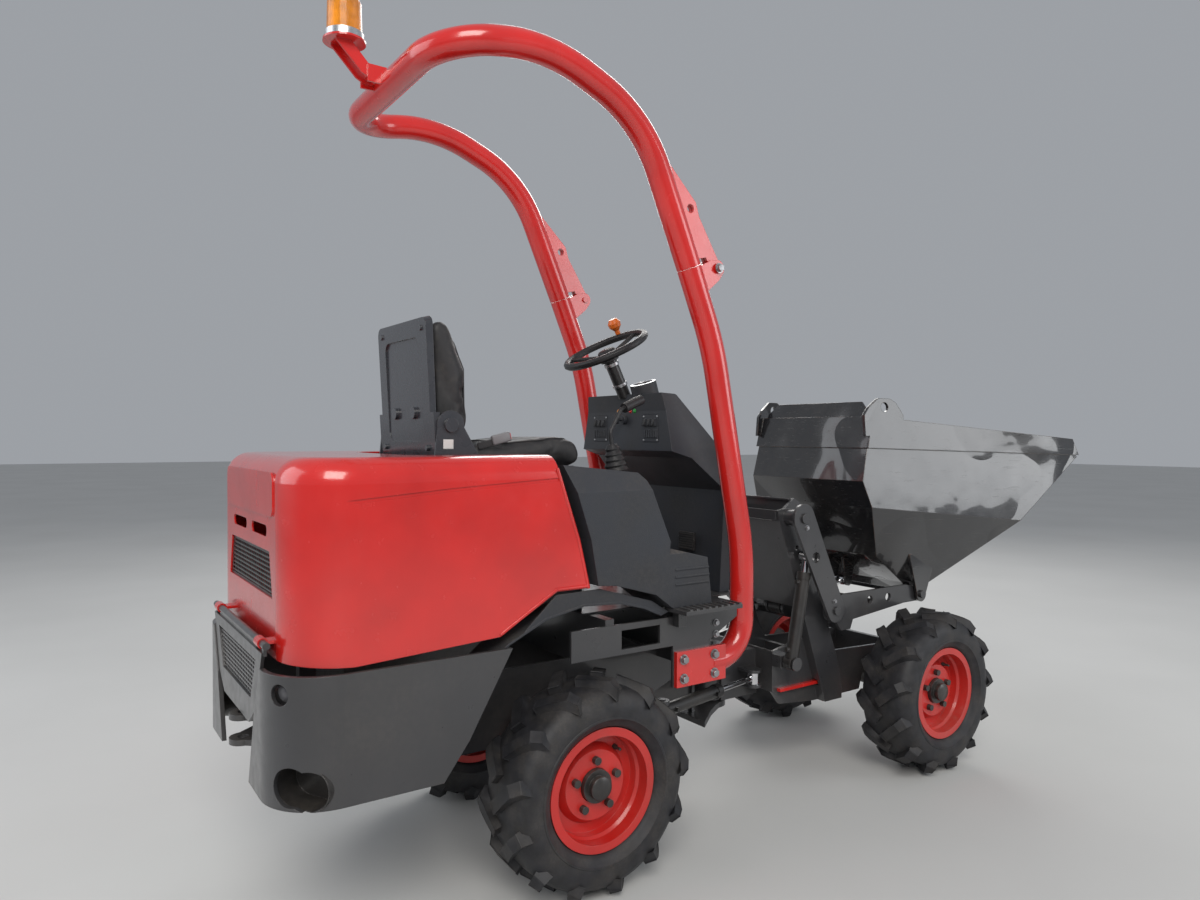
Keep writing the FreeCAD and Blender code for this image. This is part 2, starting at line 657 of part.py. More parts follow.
column = fuse([rod(col_low, wheel_c - axis_dir * (40 + gap), 22),
               rod(wheel_c - axis_dir * 60, wheel_c - axis_dir * 22, 10)])
save("steering_column", column.cut(prism_xz(dash_outline, -255, 255)))
grip_section = []
for k in range(8):
    t = 2 * pi * (k + 0.5) / 8
    grip_section.append((wheel_r - grip_r + 1.05 * grip_r * cos(t), 1.05 * grip_r * sin(t)))
ring = turned(grip_section, wheel_c, axis_dir)
hub_s = rod(wheel_c - axis_dir * 40, wheel_c - axis_dir * 8, 32)
shaft_bore = rod(wheel_c - axis_dir * 41, wheel_c - axis_dir * 21, 10 + play)
cross_dir = V(cos(wt), 0, sin(wt))
spokes = []
for deg in (90, 210, 330):
    a = radians(deg)
    d = V(0, 1, 0) * cos(a) + cross_dir * sin(a)
    spokes.append(rod(wheel_c - axis_dir * 24 + d * 20, wheel_c + d * (wheel_r - grip_r), 7))
save("steering_wheel", fuse([ring, hub_s] + spokes).cut(shaft_bore))
knob_d = V(0, 1, 0) * cos(radians(60)) + cross_dir * sin(radians(60))
knob_at = wheel_c + knob_d * (wheel_r - grip_r)
knob_profile = [(0, grip_r + gap), (9, grip_r + gap), (9, 26), (21, 40), (23, 54), (14, 68), (0, 68)]
save("steering_knob", turned(knob_profile, knob_at, axis_dir))

# Roll frame

seam = V(372, leg_y, 1778)
seam_d = V(-0.39, 0, 0.921)
seam_d.normalize()
leg_path = [V(452, leg_y, 567), V(600, leg_y, 567), V(600, leg_y, 905), seam - seam_d * 250, seam]
leg_radii = [115, 900, 900]


def leg(side):
    path = [V(p.x, p.y * side, p.z) for p in leg_path]
    return pipe(path, leg_radii, tube_r)


foot = [box(304, 500, side_y + side_t + gap, side_y + side_t + 14, 515, 622)]
legs_out = []
for side in (1, -1):
    pieces = [leg(side)] + [s if side > 0 else mirror(s) for s in foot]
    for y0 in (leg_y - 24, leg_y + 14):
        lug = fuse([prism_xz([(405, 1690), (372, 1770), (440, 1806), (468, 1808), (490, 1770),
                              (474, 1748)], y0, y0 + lug_t),
                    ycyl(fold_x, fold_z, 26, y0, y0 + lug_t)])
        lug = lug if side > 0 else mirror(lug)
        pieces.append(lug)
    fp = ycyl(fold_x, fold_z, fold_pin_r, leg_y - 30, leg_y + 30)
    pieces.append(fp if side > 0 else mirror(fp))
    legs_out.append(fuse(pieces))
save("rops_legs", legs_out)

hoop_half = [seam + seam_d * 1.0, V(191, leg_y, 2190), V(-130, leg_y, 2318), V(-430, leg_y, 2262)]
hoop_path = hoop_half + [V(p.x, -p.y, p.z) for p in reversed(hoop_half)]
hoop_radii = [380, 450, 150, 150, 450, 380]
hoop = pipe(hoop_path, hoop_radii, tube_r)
up_lugs = []
for y0 in (leg_y - 12, leg_y + 2):
    lug = fuse([prism_xz([(262, 2086), (280, 2080), (388, 1976), (402, 1934), (490, 1796), (450, 1776),
                          (430, 1815),
                          (371, 1800), (289, 1985)], y0, y0 + lug_t),
                          ycyl(fold_x, fold_z, 26, y0, y0 + lug_t)])
    lug = lug.cut(Part.makeCompound([ycyl(367, 1955, 13, y0 - 1, y0 + lug_t + 1),
                                     ycyl(fold_x, fold_z, fold_pin_r + play, y0 - 1, y0 + lug_t + 1)]))
    up_lugs += both(lug)
beacon_lugs = both(box(-505, -440, 27, 33, 2250, 2298))
hoop = fuse([hoop] + up_lugs + beacon_lugs)
save("rops_hoop", hoop)
bracket_arm = prism_xz([(-470, 2262), (-470, 2286), (-500, 2300), (-548, 2350), (-590, 2350), (-590, 2344),
                        (-520, 2272),
                        (-500, 2262)], 20.7, 27 - gap)
bracket = fuse(both(bracket_arm) + [zcyl(-560, 0, 58, 2350, 2356)] + both(ycyl(-486, 2275, 9, 14, 27 - gap)))
save("beacon_bracket", bracket)
save("beacon_base", zcyl(-560, 0, 52, 2356 + gap, 2376))
lens_profile = [(0, 0), (48, 0), (46, 82), (38, 96), (28, 101), (0, 101)]
save("beacon_lens", turned(lens_profile, V(-560, 0, 2376 + gap), V(0, 0, 1)))

# Front chassis

front_rail = [(960, 330), (1000, 280), (1180, 262), (1450, 262), (1480, 360), (1650, 360), (1680, 300),
              (1700, 300),
              (1700, 420), (1240, 440), (1180, 520), (960, 480)]
low_rails = both(prism_xz(front_rail, 150, 162))
front_saddles = both(box(wheelbase - 36, wheelbase + 36, 150, 210, 320, 400))
front_cross = [box(1240, 1260, -150, 150, 280, 420), box(1680, 1700, -150, 150, 300, 420),
               box(960, 972, -162, 162, 330, 480)]
yoke_block = fuse([box(790, 966, -75, 75, yoke_low + 6, yoke_high - 6),
                   zcyl(pivot_x, 0, 62, yoke_low + 6, yoke_high - 6)])
yoke_block = yoke_block.cut(zcyl(pivot_x, 0, pin_r + play, 200, 600))
steer_arm = []
for z0 in (steer_z - 32, steer_z + 22):
    steer_arm.append(fuse([box(870, 930, -125, -60, z0, z0 + 10), zcyl(steer_eye_x, steer_eye_y, 30, z0,
                                                                       z0 + 10)]))

post_outline = [(1206, 262), (1300, 262), (1300, 345), (1128, 790), (1088, 1000), (1062, 1022), (1028, 1042),
                (980, 1006), (944, 1000), (952, 962), (1100, 560)]
post_holes = [ycyl(1044, 859, 9, 0, 400), ycyl(1066, 800, 8, 0, 400), ycyl(1072, 784, 8, 0, 400),
              ycyl(1106, 880, 9, 0, 400)]
post = cut(prism_xz(post_outline, post_y, post_y + post_t), post_holes)
post_flange = prism_xz([(944, 1000), (952, 962), (1100, 560), (1206, 262), (1212, 262), (1106, 562),
                        (958, 964),
                        (950, 1000)], post_y - 24, post_y)
post_foot = box(1206, 1292, 162, post_y + post_t, 262, 290)
posts = both(fuse([post, post_flange, post_foot]))
cover = prism_xz([(952, 962), (1074, 632), (1080, 634), (958, 964)], -post_y, post_y)
tower_back = box(944, 950, -post_y, post_y, 964, 1000)
tower_front = box(1022, 1028, -post_y, post_y, 950, 1040)
tower_lip = [box(944, 956, -post_y, post_y, 994, 1000), box(1010, 1028, -post_y, post_y, 1034, 1040)]
top_pin = fuse([ycyl(top_x, top_z, 18, -arm_y - arm_t - 8, arm_y + arm_t + 8)]
               + both(ycyl(top_x, top_z, 30, post_y + post_t, arm_y - 1)))
tie_pin = ycyl(top_x + link_dx, top_z + link_dz, link_pin_r, -post_y, post_y)
lift_lug = box(958, 1012, 162, lift_y - 24, lift_base_z - 22, lift_base_z + 22)
lift_pin = fuse([ycyl(lift_base_x, lift_base_z, lift_pin_r, 155, lift_y + 31),
                 ycyl(lift_base_x, lift_base_z, 24, lift_y + 25, lift_y + 31)])
front = fuse(low_rails + front_saddles + front_cross + [yoke_block] + steer_arm + posts
             + [cover, tower_back, tower_front] + tower_lip + [top_pin, tie_pin] + both(fuse([lift_lug,
                                                                                              lift_pin])))
lock_pin_x = 1228.0
lock_pin_y = -173.0
lock_pin_r = 9.0
front = cut(front, [zcyl(lock_pin_x, lock_pin_y, lock_pin_r + gap, 200, 400),
                    box(980, 1256, -186, -162, 324, 348),
                    ycyl(wheelbase, wheel_z, 48 + gap, -300, 300)])
save("front_chassis", front)
save("front_axle", axle(wheelbase))
save("lock_bar", fuse([box(985, 1250, -180, -162 - gap, 330, 342),
                       zcyl(lock_pin_x, lock_pin_y, lock_pin_r, 256, 369)]))

# Lift arms, tie links and carrier

web = plate_between((top_x, top_z), (arm_low_x, arm_low_z), 52, 44, arm_y, arm_y + arm_t)
web = cut(web, [ycyl(top_x, top_z, 18 + play, 200, 400), ycyl(arm_low_x, arm_low_z, arm_pin_r + play, 200,
                                                              400),
                ycyl(lift_eye_x, lift_eye_z, 20, 200, 400)])
save("lift_arms", both(web))

tie_top = (top_x + link_dx, top_z + link_dz)
tie_low = (arm_low_x + link_dx, arm_low_z + link_dz)
tie = plate_between(tie_top, tie_low, link_r, link_r, link_y, link_y + link_t)
tie = cut(tie, [ycyl(x, z, link_pin_r + play, 100, 300) for x, z in (tie_top, tie_low)])
save("tie_links", both(tie))

carrier_outline = [(1160, 590), (1146, 640), (1230, 677), (1610, 677), (hinge_x, hinge_z + 28),
                   (hinge_x, hinge_z - 28), (1600, 606), (1290, 577), (1276, 542), (1226, 542), (1190, 583)]
c_plate = fuse([prism_xz(carrier_outline, carrier_y, carrier_y + carrier_t),
                ycyl(hinge_x, hinge_z, hinge_boss_r, carrier_y, carrier_y + carrier_t),
                ycyl(arm_low_x, arm_low_z, 42, carrier_y, carrier_y + carrier_t)])
c_plate = cut(c_plate, [ycyl(1390, 640, 16, 200, 300), ycyl(1500, 640, 16, 200, 300)])
c_pins = [ycyl(arm_low_x, arm_low_z, arm_pin_r, carrier_y, arm_y + arm_t + 8),
          ycyl(hinge_x, hinge_z, hinge_pin_r, carrier_y - 8, arm_y + arm_t + 8)]
link_post = fuse([prism_xz([(1236, 550), (1262, 550), (1256, 640), (1214, 640)], link_y - 22, link_y - 8),
                  ycyl(tie_low[0], tie_low[1], 22, link_y - 22, link_y - 8),
                  ycyl(tie_low[0], tie_low[1], link_pin_r, link_y - 22, link_y + link_t + 6)])
tilt_lug = prism_xz([(1134, 590), (1144, 574), (1234, 542), (1264, 542), (1264, 566), (1200, 600),
                     (1170, 624),
                     (1150, 624)], 36, 48)
tilt_lug = fuse([tilt_lug, ycyl(tilt_base_x, tilt_base_z, 27, 36, 48)])
c_cross = [box(1234, 1264, -carrier_y - 1, carrier_y + 1, 542, 566),
           box(1470, 1500, -carrier_y - 1, carrier_y + 1, 598, 620)]
tilt_pin = ycyl(tilt_base_x, tilt_base_z, tilt_pin_r, -48, 48)
carrier = fuse(both(fuse([c_plate] + c_pins)) + both(link_post) + both(tilt_lug) + c_cross + [tilt_pin])
save("skip_carrier", carrier)

# Skip

skip_profile = [(1360, 1346), (1303, 1100), (1340, 1000), (1450, 800), (1630, 680), (1700, 620),
                (front_end_x, 1184), (2468, 1262)]
hollow_profile = [(1366, 1400), (1366, 1346), (1309, 1100), (1345, 1002), (1454, 804), (1633, 685),
                  (1701, 626),
                  (2500, 1190), (2600, 1230), (2600, 1400)]
side_flare = 0.163           # half-width gained for each mm forwards
side_lean = 0.08             # and for each mm downwards


def upper_side(x, z):
    """Half-width of the skip above the crease: it widens forwards and downwards."""
    return 278 + side_flare * (x - 1360) + side_lean * (1346 - z)


def lower_side(x, z):
    """Half-width below the crease, narrow at the skip's lowest point."""
    return 214 + 0.2143 * (x - 1700) + 0.4346 * (z - 620)


def side_block(half_width, shift):
    """Everything to the right of the left side plane, moved outwards by shift."""
    corners = []
    for x, z in ((900, 300), (2800, 300), (2800, 1500), (900, 1500)):
        corners.append(V(x, half_width(x, z) + shift, z))
    return face(corners).extrude(V(0, -3000, 0))


def skip_solid(outline, shift):
    body = prism_xz(outline, -700, 700)
    for half_width in (upper_side, lower_side):
        block = side_block(half_width, shift)
        body = body.common(block).common(mirror(block))
    return body


hollow = skip_solid(hollow_profile, -skip_t)
band_outline = [(1352, 1346), (1326, 1225), (1340, 1225), (2500, 1192), (2468, 1262)]
band = prism_xz(band_outline, -700, 700)
band_block = side_block(upper_side, rim_band_t)
band = band.common(band_block).common(mirror(band_block))
flap = prism_xz([(1358, 1340), (1364, 1340), (1388, 1402), (1382, 1404)], -262, 262)
flap = flap.cut(Part.makeCompound(both(prism_yz([(200, 1420), (262, 1360), (300, 1360), (300, 1420)], 1300,
                                                1500))))
eye_plate = prism_xz([(1316, 1270), (1508, 1270), (1508, 1352), (1474, 1400), (1444, 1415), (1388, 1415),
                      (1340, 1380),
                      (1316, 1350)], 0, 400)
eye_plate = eye_plate.common(band_block).cut(side_block(upper_side, 0))
eye_axis = V(-side_flare, 1, side_lean).normalize()
eye_middle = V(eye_x, upper_side(eye_x, eye_z) + rim_band_t / 2, eye_z)
eye_hole = Part.makeCylinder(eye_r, 80, eye_middle - eye_axis * 40, eye_axis)
hinge_lug = fuse([prism_xz([(1610, 800), (hinge_x - 28, hinge_z), (hinge_x + 28, hinge_z), (1790, 800)],
                           arm_y, arm_y + arm_t), ycyl(hinge_x, hinge_z, hinge_boss_r, arm_y, arm_y + arm_t)])
tilt_ear = fuse([prism_xz([(1490, 790), (1512, tilt_eye_z), (1548, tilt_eye_z), (1580, 790)], 32, 42),
                 ycyl(tilt_eye_x, tilt_eye_z, 20, 32, 42)])
skip = fuse([skip_solid(skip_profile, 0), band] + both(eye_plate) + both(hinge_lug) + both(tilt_ear))
skip = cut(skip, [hollow, ycyl(hinge_x, hinge_z, hinge_pin_r + play, -400, 400)] + both(eye_hole))
skip = fuse([skip, flap])
save("skip", skip)

# Cylinders


def barrel(a, b, r, rod_r, length, eye_r, eye_w, pin, axis):
    """Barrel with a gland ring and ports between the pins at a and b; both pins run along axis."""
    d = (b - a).normalize()
    eye = Part.makeCylinder(eye_r, eye_w, a - axis * (eye_w / 2), axis)
    ports = []
    for at in (46, length - 40):
        ports.append(rod(a + d * at, a + d * at + d.cross(axis) * (r + 12), 8))
    body = fuse([eye, rod(a + d * eye_r * 0.6, a + d * length, r),
                 rod(a + d * (length - 26), a + d * length, r + 3)]
                + ports)
    return cut(body, [rod(a + d * 60, a + d * (length + 1), rod_r + 0.4),
                      Part.makeCylinder(pin + play, 400, a - axis * 200, axis)])


def piston_rod(a, b, rod_r, start, eye_r, eye_w, axis):
    d = (b - a).normalize()
    return fuse([rod(a + d * start, b - d * (eye_r * 0.6), rod_r),
                 Part.makeCylinder(eye_r, eye_w, b - axis * (eye_w / 2), axis)])


across = V(0, 1, 0)
lift_a = V(lift_base_x, lift_y, lift_base_z)
lift_b = V(lift_eye_x, lift_y, lift_eye_z)
save("lift_barrels", both(barrel(lift_a, lift_b, 24, 14, 330, 26, 36, lift_pin_r, across)))
lift_eye_pin = ycyl(lift_eye_x, lift_eye_z, lift_pin_r, lift_y - 22, lift_y + 28)
save("lift_rods", both(fuse([piston_rod(lift_a, lift_b, 14, 70, 22, 36, across), lift_eye_pin])))
tilt_a = V(tilt_base_x, 0, tilt_base_z)
tilt_b = V(tilt_eye_x, 0, tilt_eye_z)
save("tilt_barrel", barrel(tilt_a, tilt_b, 30, 16, 300, 27, 60, tilt_pin_r, across))
tilt_eye_pin = ycyl(tilt_eye_x, tilt_eye_z, tilt_pin_r, -29, 29)
save("tilt_rod", fuse([piston_rod(tilt_a, tilt_b, 16, 70, 20, 48, across), tilt_eye_pin]))
steer_a = V(steer_base_x, steer_base_y, steer_z)
steer_b = V(steer_eye_x, steer_eye_y, steer_z)
save("steer_barrel", barrel(steer_a, steer_b, 22, 11, 310, 22, 46, 12, V(0, 0, 1)))
save("steer_rod", piston_rod(steer_a, steer_b, 11, 160, 22, 42, V(0, 0, 1)))
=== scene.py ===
"""Looks of an articulated site dumper: finishes, tyres, seat, fasteners, floor, light, camera."""

import json
import logging
import math
from dataclasses import dataclass
from enum import Enum

import bmesh
import bpy
from mathutils import Matrix, Vector

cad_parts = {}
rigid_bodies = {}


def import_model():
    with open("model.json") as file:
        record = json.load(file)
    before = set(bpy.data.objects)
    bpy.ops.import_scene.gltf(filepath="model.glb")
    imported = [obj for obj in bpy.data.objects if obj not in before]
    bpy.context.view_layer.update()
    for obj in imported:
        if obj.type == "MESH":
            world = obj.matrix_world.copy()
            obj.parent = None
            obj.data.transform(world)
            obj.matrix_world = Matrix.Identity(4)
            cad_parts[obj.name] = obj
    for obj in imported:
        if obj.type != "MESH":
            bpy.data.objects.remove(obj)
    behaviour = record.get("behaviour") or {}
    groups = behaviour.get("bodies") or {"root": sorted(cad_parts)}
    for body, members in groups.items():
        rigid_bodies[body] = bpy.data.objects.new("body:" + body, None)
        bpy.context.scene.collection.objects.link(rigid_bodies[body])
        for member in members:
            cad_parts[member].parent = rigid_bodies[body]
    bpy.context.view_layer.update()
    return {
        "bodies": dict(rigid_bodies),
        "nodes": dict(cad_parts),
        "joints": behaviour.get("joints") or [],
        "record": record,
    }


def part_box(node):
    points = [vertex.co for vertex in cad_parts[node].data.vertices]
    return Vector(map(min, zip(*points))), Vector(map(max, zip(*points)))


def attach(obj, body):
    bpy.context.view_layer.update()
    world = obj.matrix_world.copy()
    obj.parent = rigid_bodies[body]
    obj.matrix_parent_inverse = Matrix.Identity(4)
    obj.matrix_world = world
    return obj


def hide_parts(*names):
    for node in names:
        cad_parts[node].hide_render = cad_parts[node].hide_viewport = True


LOG = logging.getLogger("site_dumper")
REAR_AXLE = 0.8205  # metres from the rear axle forward to the frame's origin
REAR_MODULE = "rear_module"
WHEELS = ("rl", "rr", "fl", "fr")

Colour = tuple[float, float, float]
Triple = tuple[float, float, float]
Section = tuple[tuple[float, float], ...]
Socket = bpy.types.NodeSocket

DUST: Colour = (0.30, 0.255, 0.20)
BARE_STEEL: Colour = (0.16, 0.15, 0.145)


class Axis(Enum):
    """Directions that fasteners and discs face."""

    REAR = Vector((-1.0, 0.0, 0.0))
    LEFT = Vector((0.0, 1.0, 0.0))
    RIGHT = Vector((0.0, -1.0, 0.0))


class Slot(Enum):
    """Material slots of the record, by name."""

    STEEL = "black_steel"
    PAINT = "dark_paint"
    PLASTIC = "plastic_dark"
    SILVER = "silver"
    ORANGE = "orange"
    VINYL = "seat_vinyl"
    TYRE = "tyre"


def at(x: float, y: float, z: float) -> Vector:
    """Return a place from millimetres ahead of the rear axle, left of the middle and up."""
    return Vector((x / 1000.0 - REAR_AXLE, y / 1000.0, z / 1000.0))


def sides(x: float, y: float, z: float) -> list[tuple[Vector, Vector]]:
    """Return a place and outward direction on each side of the machine."""
    return [(at(x, y, z), Axis.LEFT.value), (at(x, -y, z), Axis.RIGHT.value)]


def facing(axis: Vector) -> Matrix:
    """Return the turn that brings +Z onto an axis."""
    return axis.normalized().to_track_quat("Z", "Y").to_matrix().to_4x4()


def centre_of(node: str) -> Vector:
    """Return the middle of a CAD node's box."""
    low, high = (Vector(corner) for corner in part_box(node))
    return (low + high) / 2


def tint(colour: Colour, factor: float) -> Colour:
    """Return a colour made darker or lighter by a factor."""
    return tuple(channel * factor for channel in colour)


# Finishes


@dataclass(frozen=True)
class Grain:
    """A layer of noise: cells per metre, octaves, the band of values in use, and stretch."""

    scale: float
    detail: float
    low: float
    high: float
    stretch: Triple = (1.0, 1.0, 1.0)


@dataclass(frozen=True)
class Relief:
    """A layer of raised noise: cells per metre, octaves, depth in metres, strength, stretch."""

    scale: float
    detail: float
    depth: float
    strength: float
    stretch: Triple = (1.0, 1.0, 1.0)


class NodeSheet:
    """A material's node tree with short calls for adding and joining nodes."""

    def __init__(self, name: str) -> None:
        """Start a material that holds one Principled shader.

        Args:
            name: Name of the material.
        """
        self.material = bpy.data.materials.new(name)
        self.material.use_nodes = True
        self.tree = self.material.node_tree
        self.shader = self.tree.nodes["Principled BSDF"]
        self.object_coords = self.add("ShaderNodeTexCoord").outputs["Object"]

    def add(self, kind: str, **settings: object) -> bpy.types.Node:
        """Add a node.

        Args:
            kind: Blender's name of the node type.
            settings: Attributes to set on the node.

        Returns:
            The new node.
        """
        node = self.tree.nodes.new(kind)
        for key, value in settings.items():
            setattr(node, key, value)
        return node

    def link(self, source: Socket, target: Socket) -> None:
        """Join an output to an input."""
        self.tree.links.new(source, target)

    def feed(self, name: str, source: Socket) -> None:
        """Join an output to an input of the shader."""
        self.link(source, self.shader.inputs[name])

    def set(self, **values: float) -> None:
        """Set constant inputs of the shader, named with underscores for spaces."""
        for key, value in values.items():
            self.shader.inputs[key.replace("_", " ")].default_value = value

    def noise(self, scale: float, detail: float, stretch: Triple = (1.0, 1.0, 1.0)) -> Socket:
        """Add noise on object coordinates.

        Args:
            scale: Cells per metre.
            detail: Octaves.
            stretch: Scale along each axis, for streaks.

        Returns:
            The noise value, 0 to 1.
        """
        mapping = self.add("ShaderNodeMapping")
        mapping.inputs["Scale"].default_value = stretch
        self.link(self.object_coords, mapping.inputs["Vector"])
        cloud = self.add("ShaderNodeTexNoise")
        cloud.inputs["Scale"].default_value = scale
        cloud.inputs["Detail"].default_value = detail
        self.link(mapping.outputs["Vector"], cloud.inputs["Vector"])
        return cloud.outputs["Fac"]

    def cells(self, feature: str, scale: float) -> Socket:
        """Add a cell pattern on object coordinates.

        Args:
            feature: What the distance is measured to, by Blender's name.
            scale: Cells per metre.

        Returns:
            The distance.
        """
        node = self.add("ShaderNodeTexVoronoi", feature=feature)
        node.inputs["Scale"].default_value = scale
        self.link(self.object_coords, node.inputs["Vector"])
        return node.outputs["Distance"]

    def ramp(self, value: Socket, low: float, high: float, start: float = 0.0,
             end: float = 1.0) -> Socket:
        """Map a value from one band to another, held at the ends.

        Args:
            value: The value.
            low: Where the result is start.
            high: Where the result is end.
            start: First end of the result.
            end: Second end of the result.

        Returns:
            The mapped value.
        """
        node = self.add("ShaderNodeMapRange", clamp=True)
        limits = (("From Min", low), ("From Max", high), ("To Min", start), ("To Max", end))
        for name, number in limits:
            node.inputs[name].default_value = number
        self.link(value, node.inputs["Value"])
        return node.outputs["Result"]

    def grain(self, layer: Grain, start: float = 0.0, end: float = 1.0) -> Socket:
        """Add a layer of noise and map its band to start..end."""
        value = self.noise(layer.scale, layer.detail, layer.stretch)
        return self.ramp(value, layer.low, layer.high, start, end)

    def combine(self, kind: str, a: Socket, b: Socket | float) -> Socket:
        """Combine a value with a number or another value.

        Args:
            kind: Blender's name of the sum.
            a: First value.
            b: Second value, or a number.

        Returns:
            The result.
        """
        node = self.add("ShaderNodeMath", operation=kind)
        self.link(a, node.inputs[0])
        if isinstance(b, float):
            node.inputs[1].default_value = b
        else:
            self.link(b, node.inputs[1])
        return node.outputs["Value"]

    def times(self, a: Socket, b: Socket | float) -> Socket:
        """Multiply a value by a number or another value."""
        return self.combine("MULTIPLY", a, b)

    def plus(self, a: Socket, b: Socket | float) -> Socket:
        """Add a number or another value to a value."""
        return self.combine("ADD", a, b)

    def mix(self, factor: Socket, a: Socket | Colour, b: Socket | Colour) -> Socket:
        """Mix two colours by a factor.

        Args:
            factor: 0 gives the first colour, 1 the second.
            a: First colour.
            b: Second colour.

        Returns:
            The mixed colour.
        """
        node = self.add("ShaderNodeMix", data_type="RGBA")
        self.link(factor, node.inputs["Factor"])
        for socket, value in ((node.inputs[6], a), (node.inputs[7], b)):
            if isinstance(value, tuple):
                socket.default_value = (*value, 1.0)
            else:
                self.link(value, socket)
        return node.outputs[2]

    def bump(self, height: Socket, depth: float, strength: float,
             below: Socket | None = None) -> Socket:
        """Turn a height in 0..1 into a normal.

        Args:
            height: The height.
            depth: Metres at a height of 1.
            strength: Share of the effect, 0 to 1.
            below: Normal that the relief lies on.

        Returns:
            The normal.
        """
        node = self.add("ShaderNodeBump")
        node.inputs["Strength"].default_value = strength
        node.inputs["Distance"].default_value = depth
        self.link(height, node.inputs["Height"])
        if below is not None:
            self.link(below, node.inputs["Normal"])
        return node.outputs["Normal"]

    def relief(self, layer: Relief, below: Socket | None = None) -> Socket:
        """Add a layer of raised noise, over another normal where one is given."""
        height = self.noise(layer.scale, layer.detail, layer.stretch)
        return self.bump(height, layer.depth, layer.strength, below)

    def facing_up(self) -> Socket:
        """Return 0 on walls and undersides, 1 on level tops."""
        split = self.add("ShaderNodeSeparateXYZ")
        self.link(self.add("ShaderNodeNewGeometry").outputs["Normal"], split.inputs["Vector"])
        return self.ramp(split.outputs["Z"], 0.35, 0.95)

    def low_down(self, top: float) -> Socket:
        """Return 1 at the ground, falling to 0 at the height top."""
        split = self.add("ShaderNodeSeparateXYZ")
        self.link(self.object_coords, split.inputs["Vector"])
        return self.ramp(split.outputs["Z"], 0.05, top, 1.0, 0.0)

    def edge(self, radius: float) -> tuple[Socket, Socket]:
        """Round the edges.

        Args:
            radius: Radius of the rounding in metres.

        Returns:
            The rounded normal, and a mask that is 1 on sharp edges.
        """
        bevel = self.add("ShaderNodeBevel", samples=4)
        bevel.inputs["Radius"].default_value = radius
        dot = self.add("ShaderNodeVectorMath", operation="DOT_PRODUCT")
        self.link(bevel.outputs["Normal"], dot.inputs[0])
        self.link(self.add("ShaderNodeNewGeometry").outputs["Normal"], dot.inputs[1])
        return bevel.outputs["Normal"], self.ramp(dot.outputs["Value"], 0.99, 0.86)


@dataclass(frozen=True)
class Paint:
    """Sprayed paint with orange peel, dust, streaks and rubbed edges."""

    name: str
    colour: Colour
    roughness: float = 0.28
    coat: float = 0.6
    peel: float = 0.0004
    dust: float = 0.35
    wear: float = 0.35
    edge_radius: float = 0.003
    shade: float = 0.78
    dust_on_tops: float = 0.55
    dust_low_down: float = 0.8
    dust_height: float = 0.95
    dust_in_streaks: float = 0.18
    clouds: Grain = Grain(3.1, 6.0, 0.38, 0.72)
    specks: Grain = Grain(70.0, 5.0, 0.35, 0.75)
    streaks: Grain = Grain(9.0, 5.0, 0.52, 0.75, (6.0, 6.0, 0.5))
    fading: Grain = Grain(5.0, 3.0, 0.3, 0.7)
    rubbing: Grain = Grain(38.0, 6.0, 0.46, 0.6)
    gloss: Grain = Grain(24.0, 6.0, 0.3, 0.8)

    def build(self) -> bpy.types.Material:
        """Make the material."""
        s = NodeSheet(self.name)
        normal, sharp = s.edge(self.edge_radius)
        settled = s.plus(s.times(s.facing_up(), self.dust_on_tops),
                         s.times(s.low_down(self.dust_height), self.dust_low_down))
        settled = s.plus(settled, s.times(s.grain(self.streaks), self.dust_in_streaks))
        specks = s.plus(s.times(s.grain(self.specks), 0.6), 0.4)
        mask = s.times(s.times(settled, s.grain(self.clouds)), specks)
        mask = s.ramp(s.times(mask, self.dust * 1.6), 0.0, 1.0, 0.02, 0.85)
        base = s.mix(s.grain(self.fading), self.colour, tint(self.colour, self.shade))
        rubbed = s.times(s.times(sharp, s.grain(self.rubbing)), self.wear)
        s.feed("Base Color", s.mix(mask, s.mix(rubbed, base, BARE_STEEL), DUST))
        gloss = s.grain(self.gloss, self.roughness * 0.8, self.roughness * 1.35)
        s.feed("Roughness", s.plus(s.times(mask, 0.5), gloss))
        s.feed("Normal", s.relief(Relief(240.0, 2.0, self.peel, 0.5), normal))
        s.set(Coat_Weight=self.coat, Coat_Roughness=0.12, IOR=1.5)
        return s.material


@dataclass(frozen=True)
class Plastic:
    """Moulded plastic with a pebbled grain that has gone chalky and dusty."""

    name: str
    colour: Colour
    roughness: float = 0.55
    grain: float = 0.0006
    dust: float = 0.35
    edge_radius: float = 0.004
    edge_light: float = 0.45
    chalk: Grain = Grain(6.0, 6.0, 0.35, 0.7)
    specks: Grain = Grain(110.0, 4.0, 0.4, 0.7)
    pebbles: float = 420.0

    def build(self) -> bpy.types.Material:
        """Make the material."""
        s = NodeSheet(self.name)
        normal, sharp = s.edge(self.edge_radius)
        chalk = s.grain(self.chalk)
        specks = s.plus(s.times(s.grain(self.specks), 0.5), 0.5)
        mask = s.times(s.plus(s.times(s.facing_up(), 0.5), 0.12), chalk)
        mask = s.times(s.times(mask, specks), self.dust * 1.7)
        light = tuple(min(1.0, c * 1.5 + 0.01) for c in self.colour)
        base = s.mix(chalk, self.colour, tint(self.colour, 0.75))
        base = s.mix(s.times(sharp, self.edge_light), base, light)
        s.feed("Base Color", s.mix(mask, base, DUST))
        s.feed("Roughness", s.ramp(chalk, 0.0, 1.0, self.roughness * 0.85,
                                   self.roughness * 1.15))
        s.feed("Normal", s.bump(s.cells("F1", self.pebbles), self.grain, 0.45, normal))
        s.set(IOR=1.48)
        return s.material


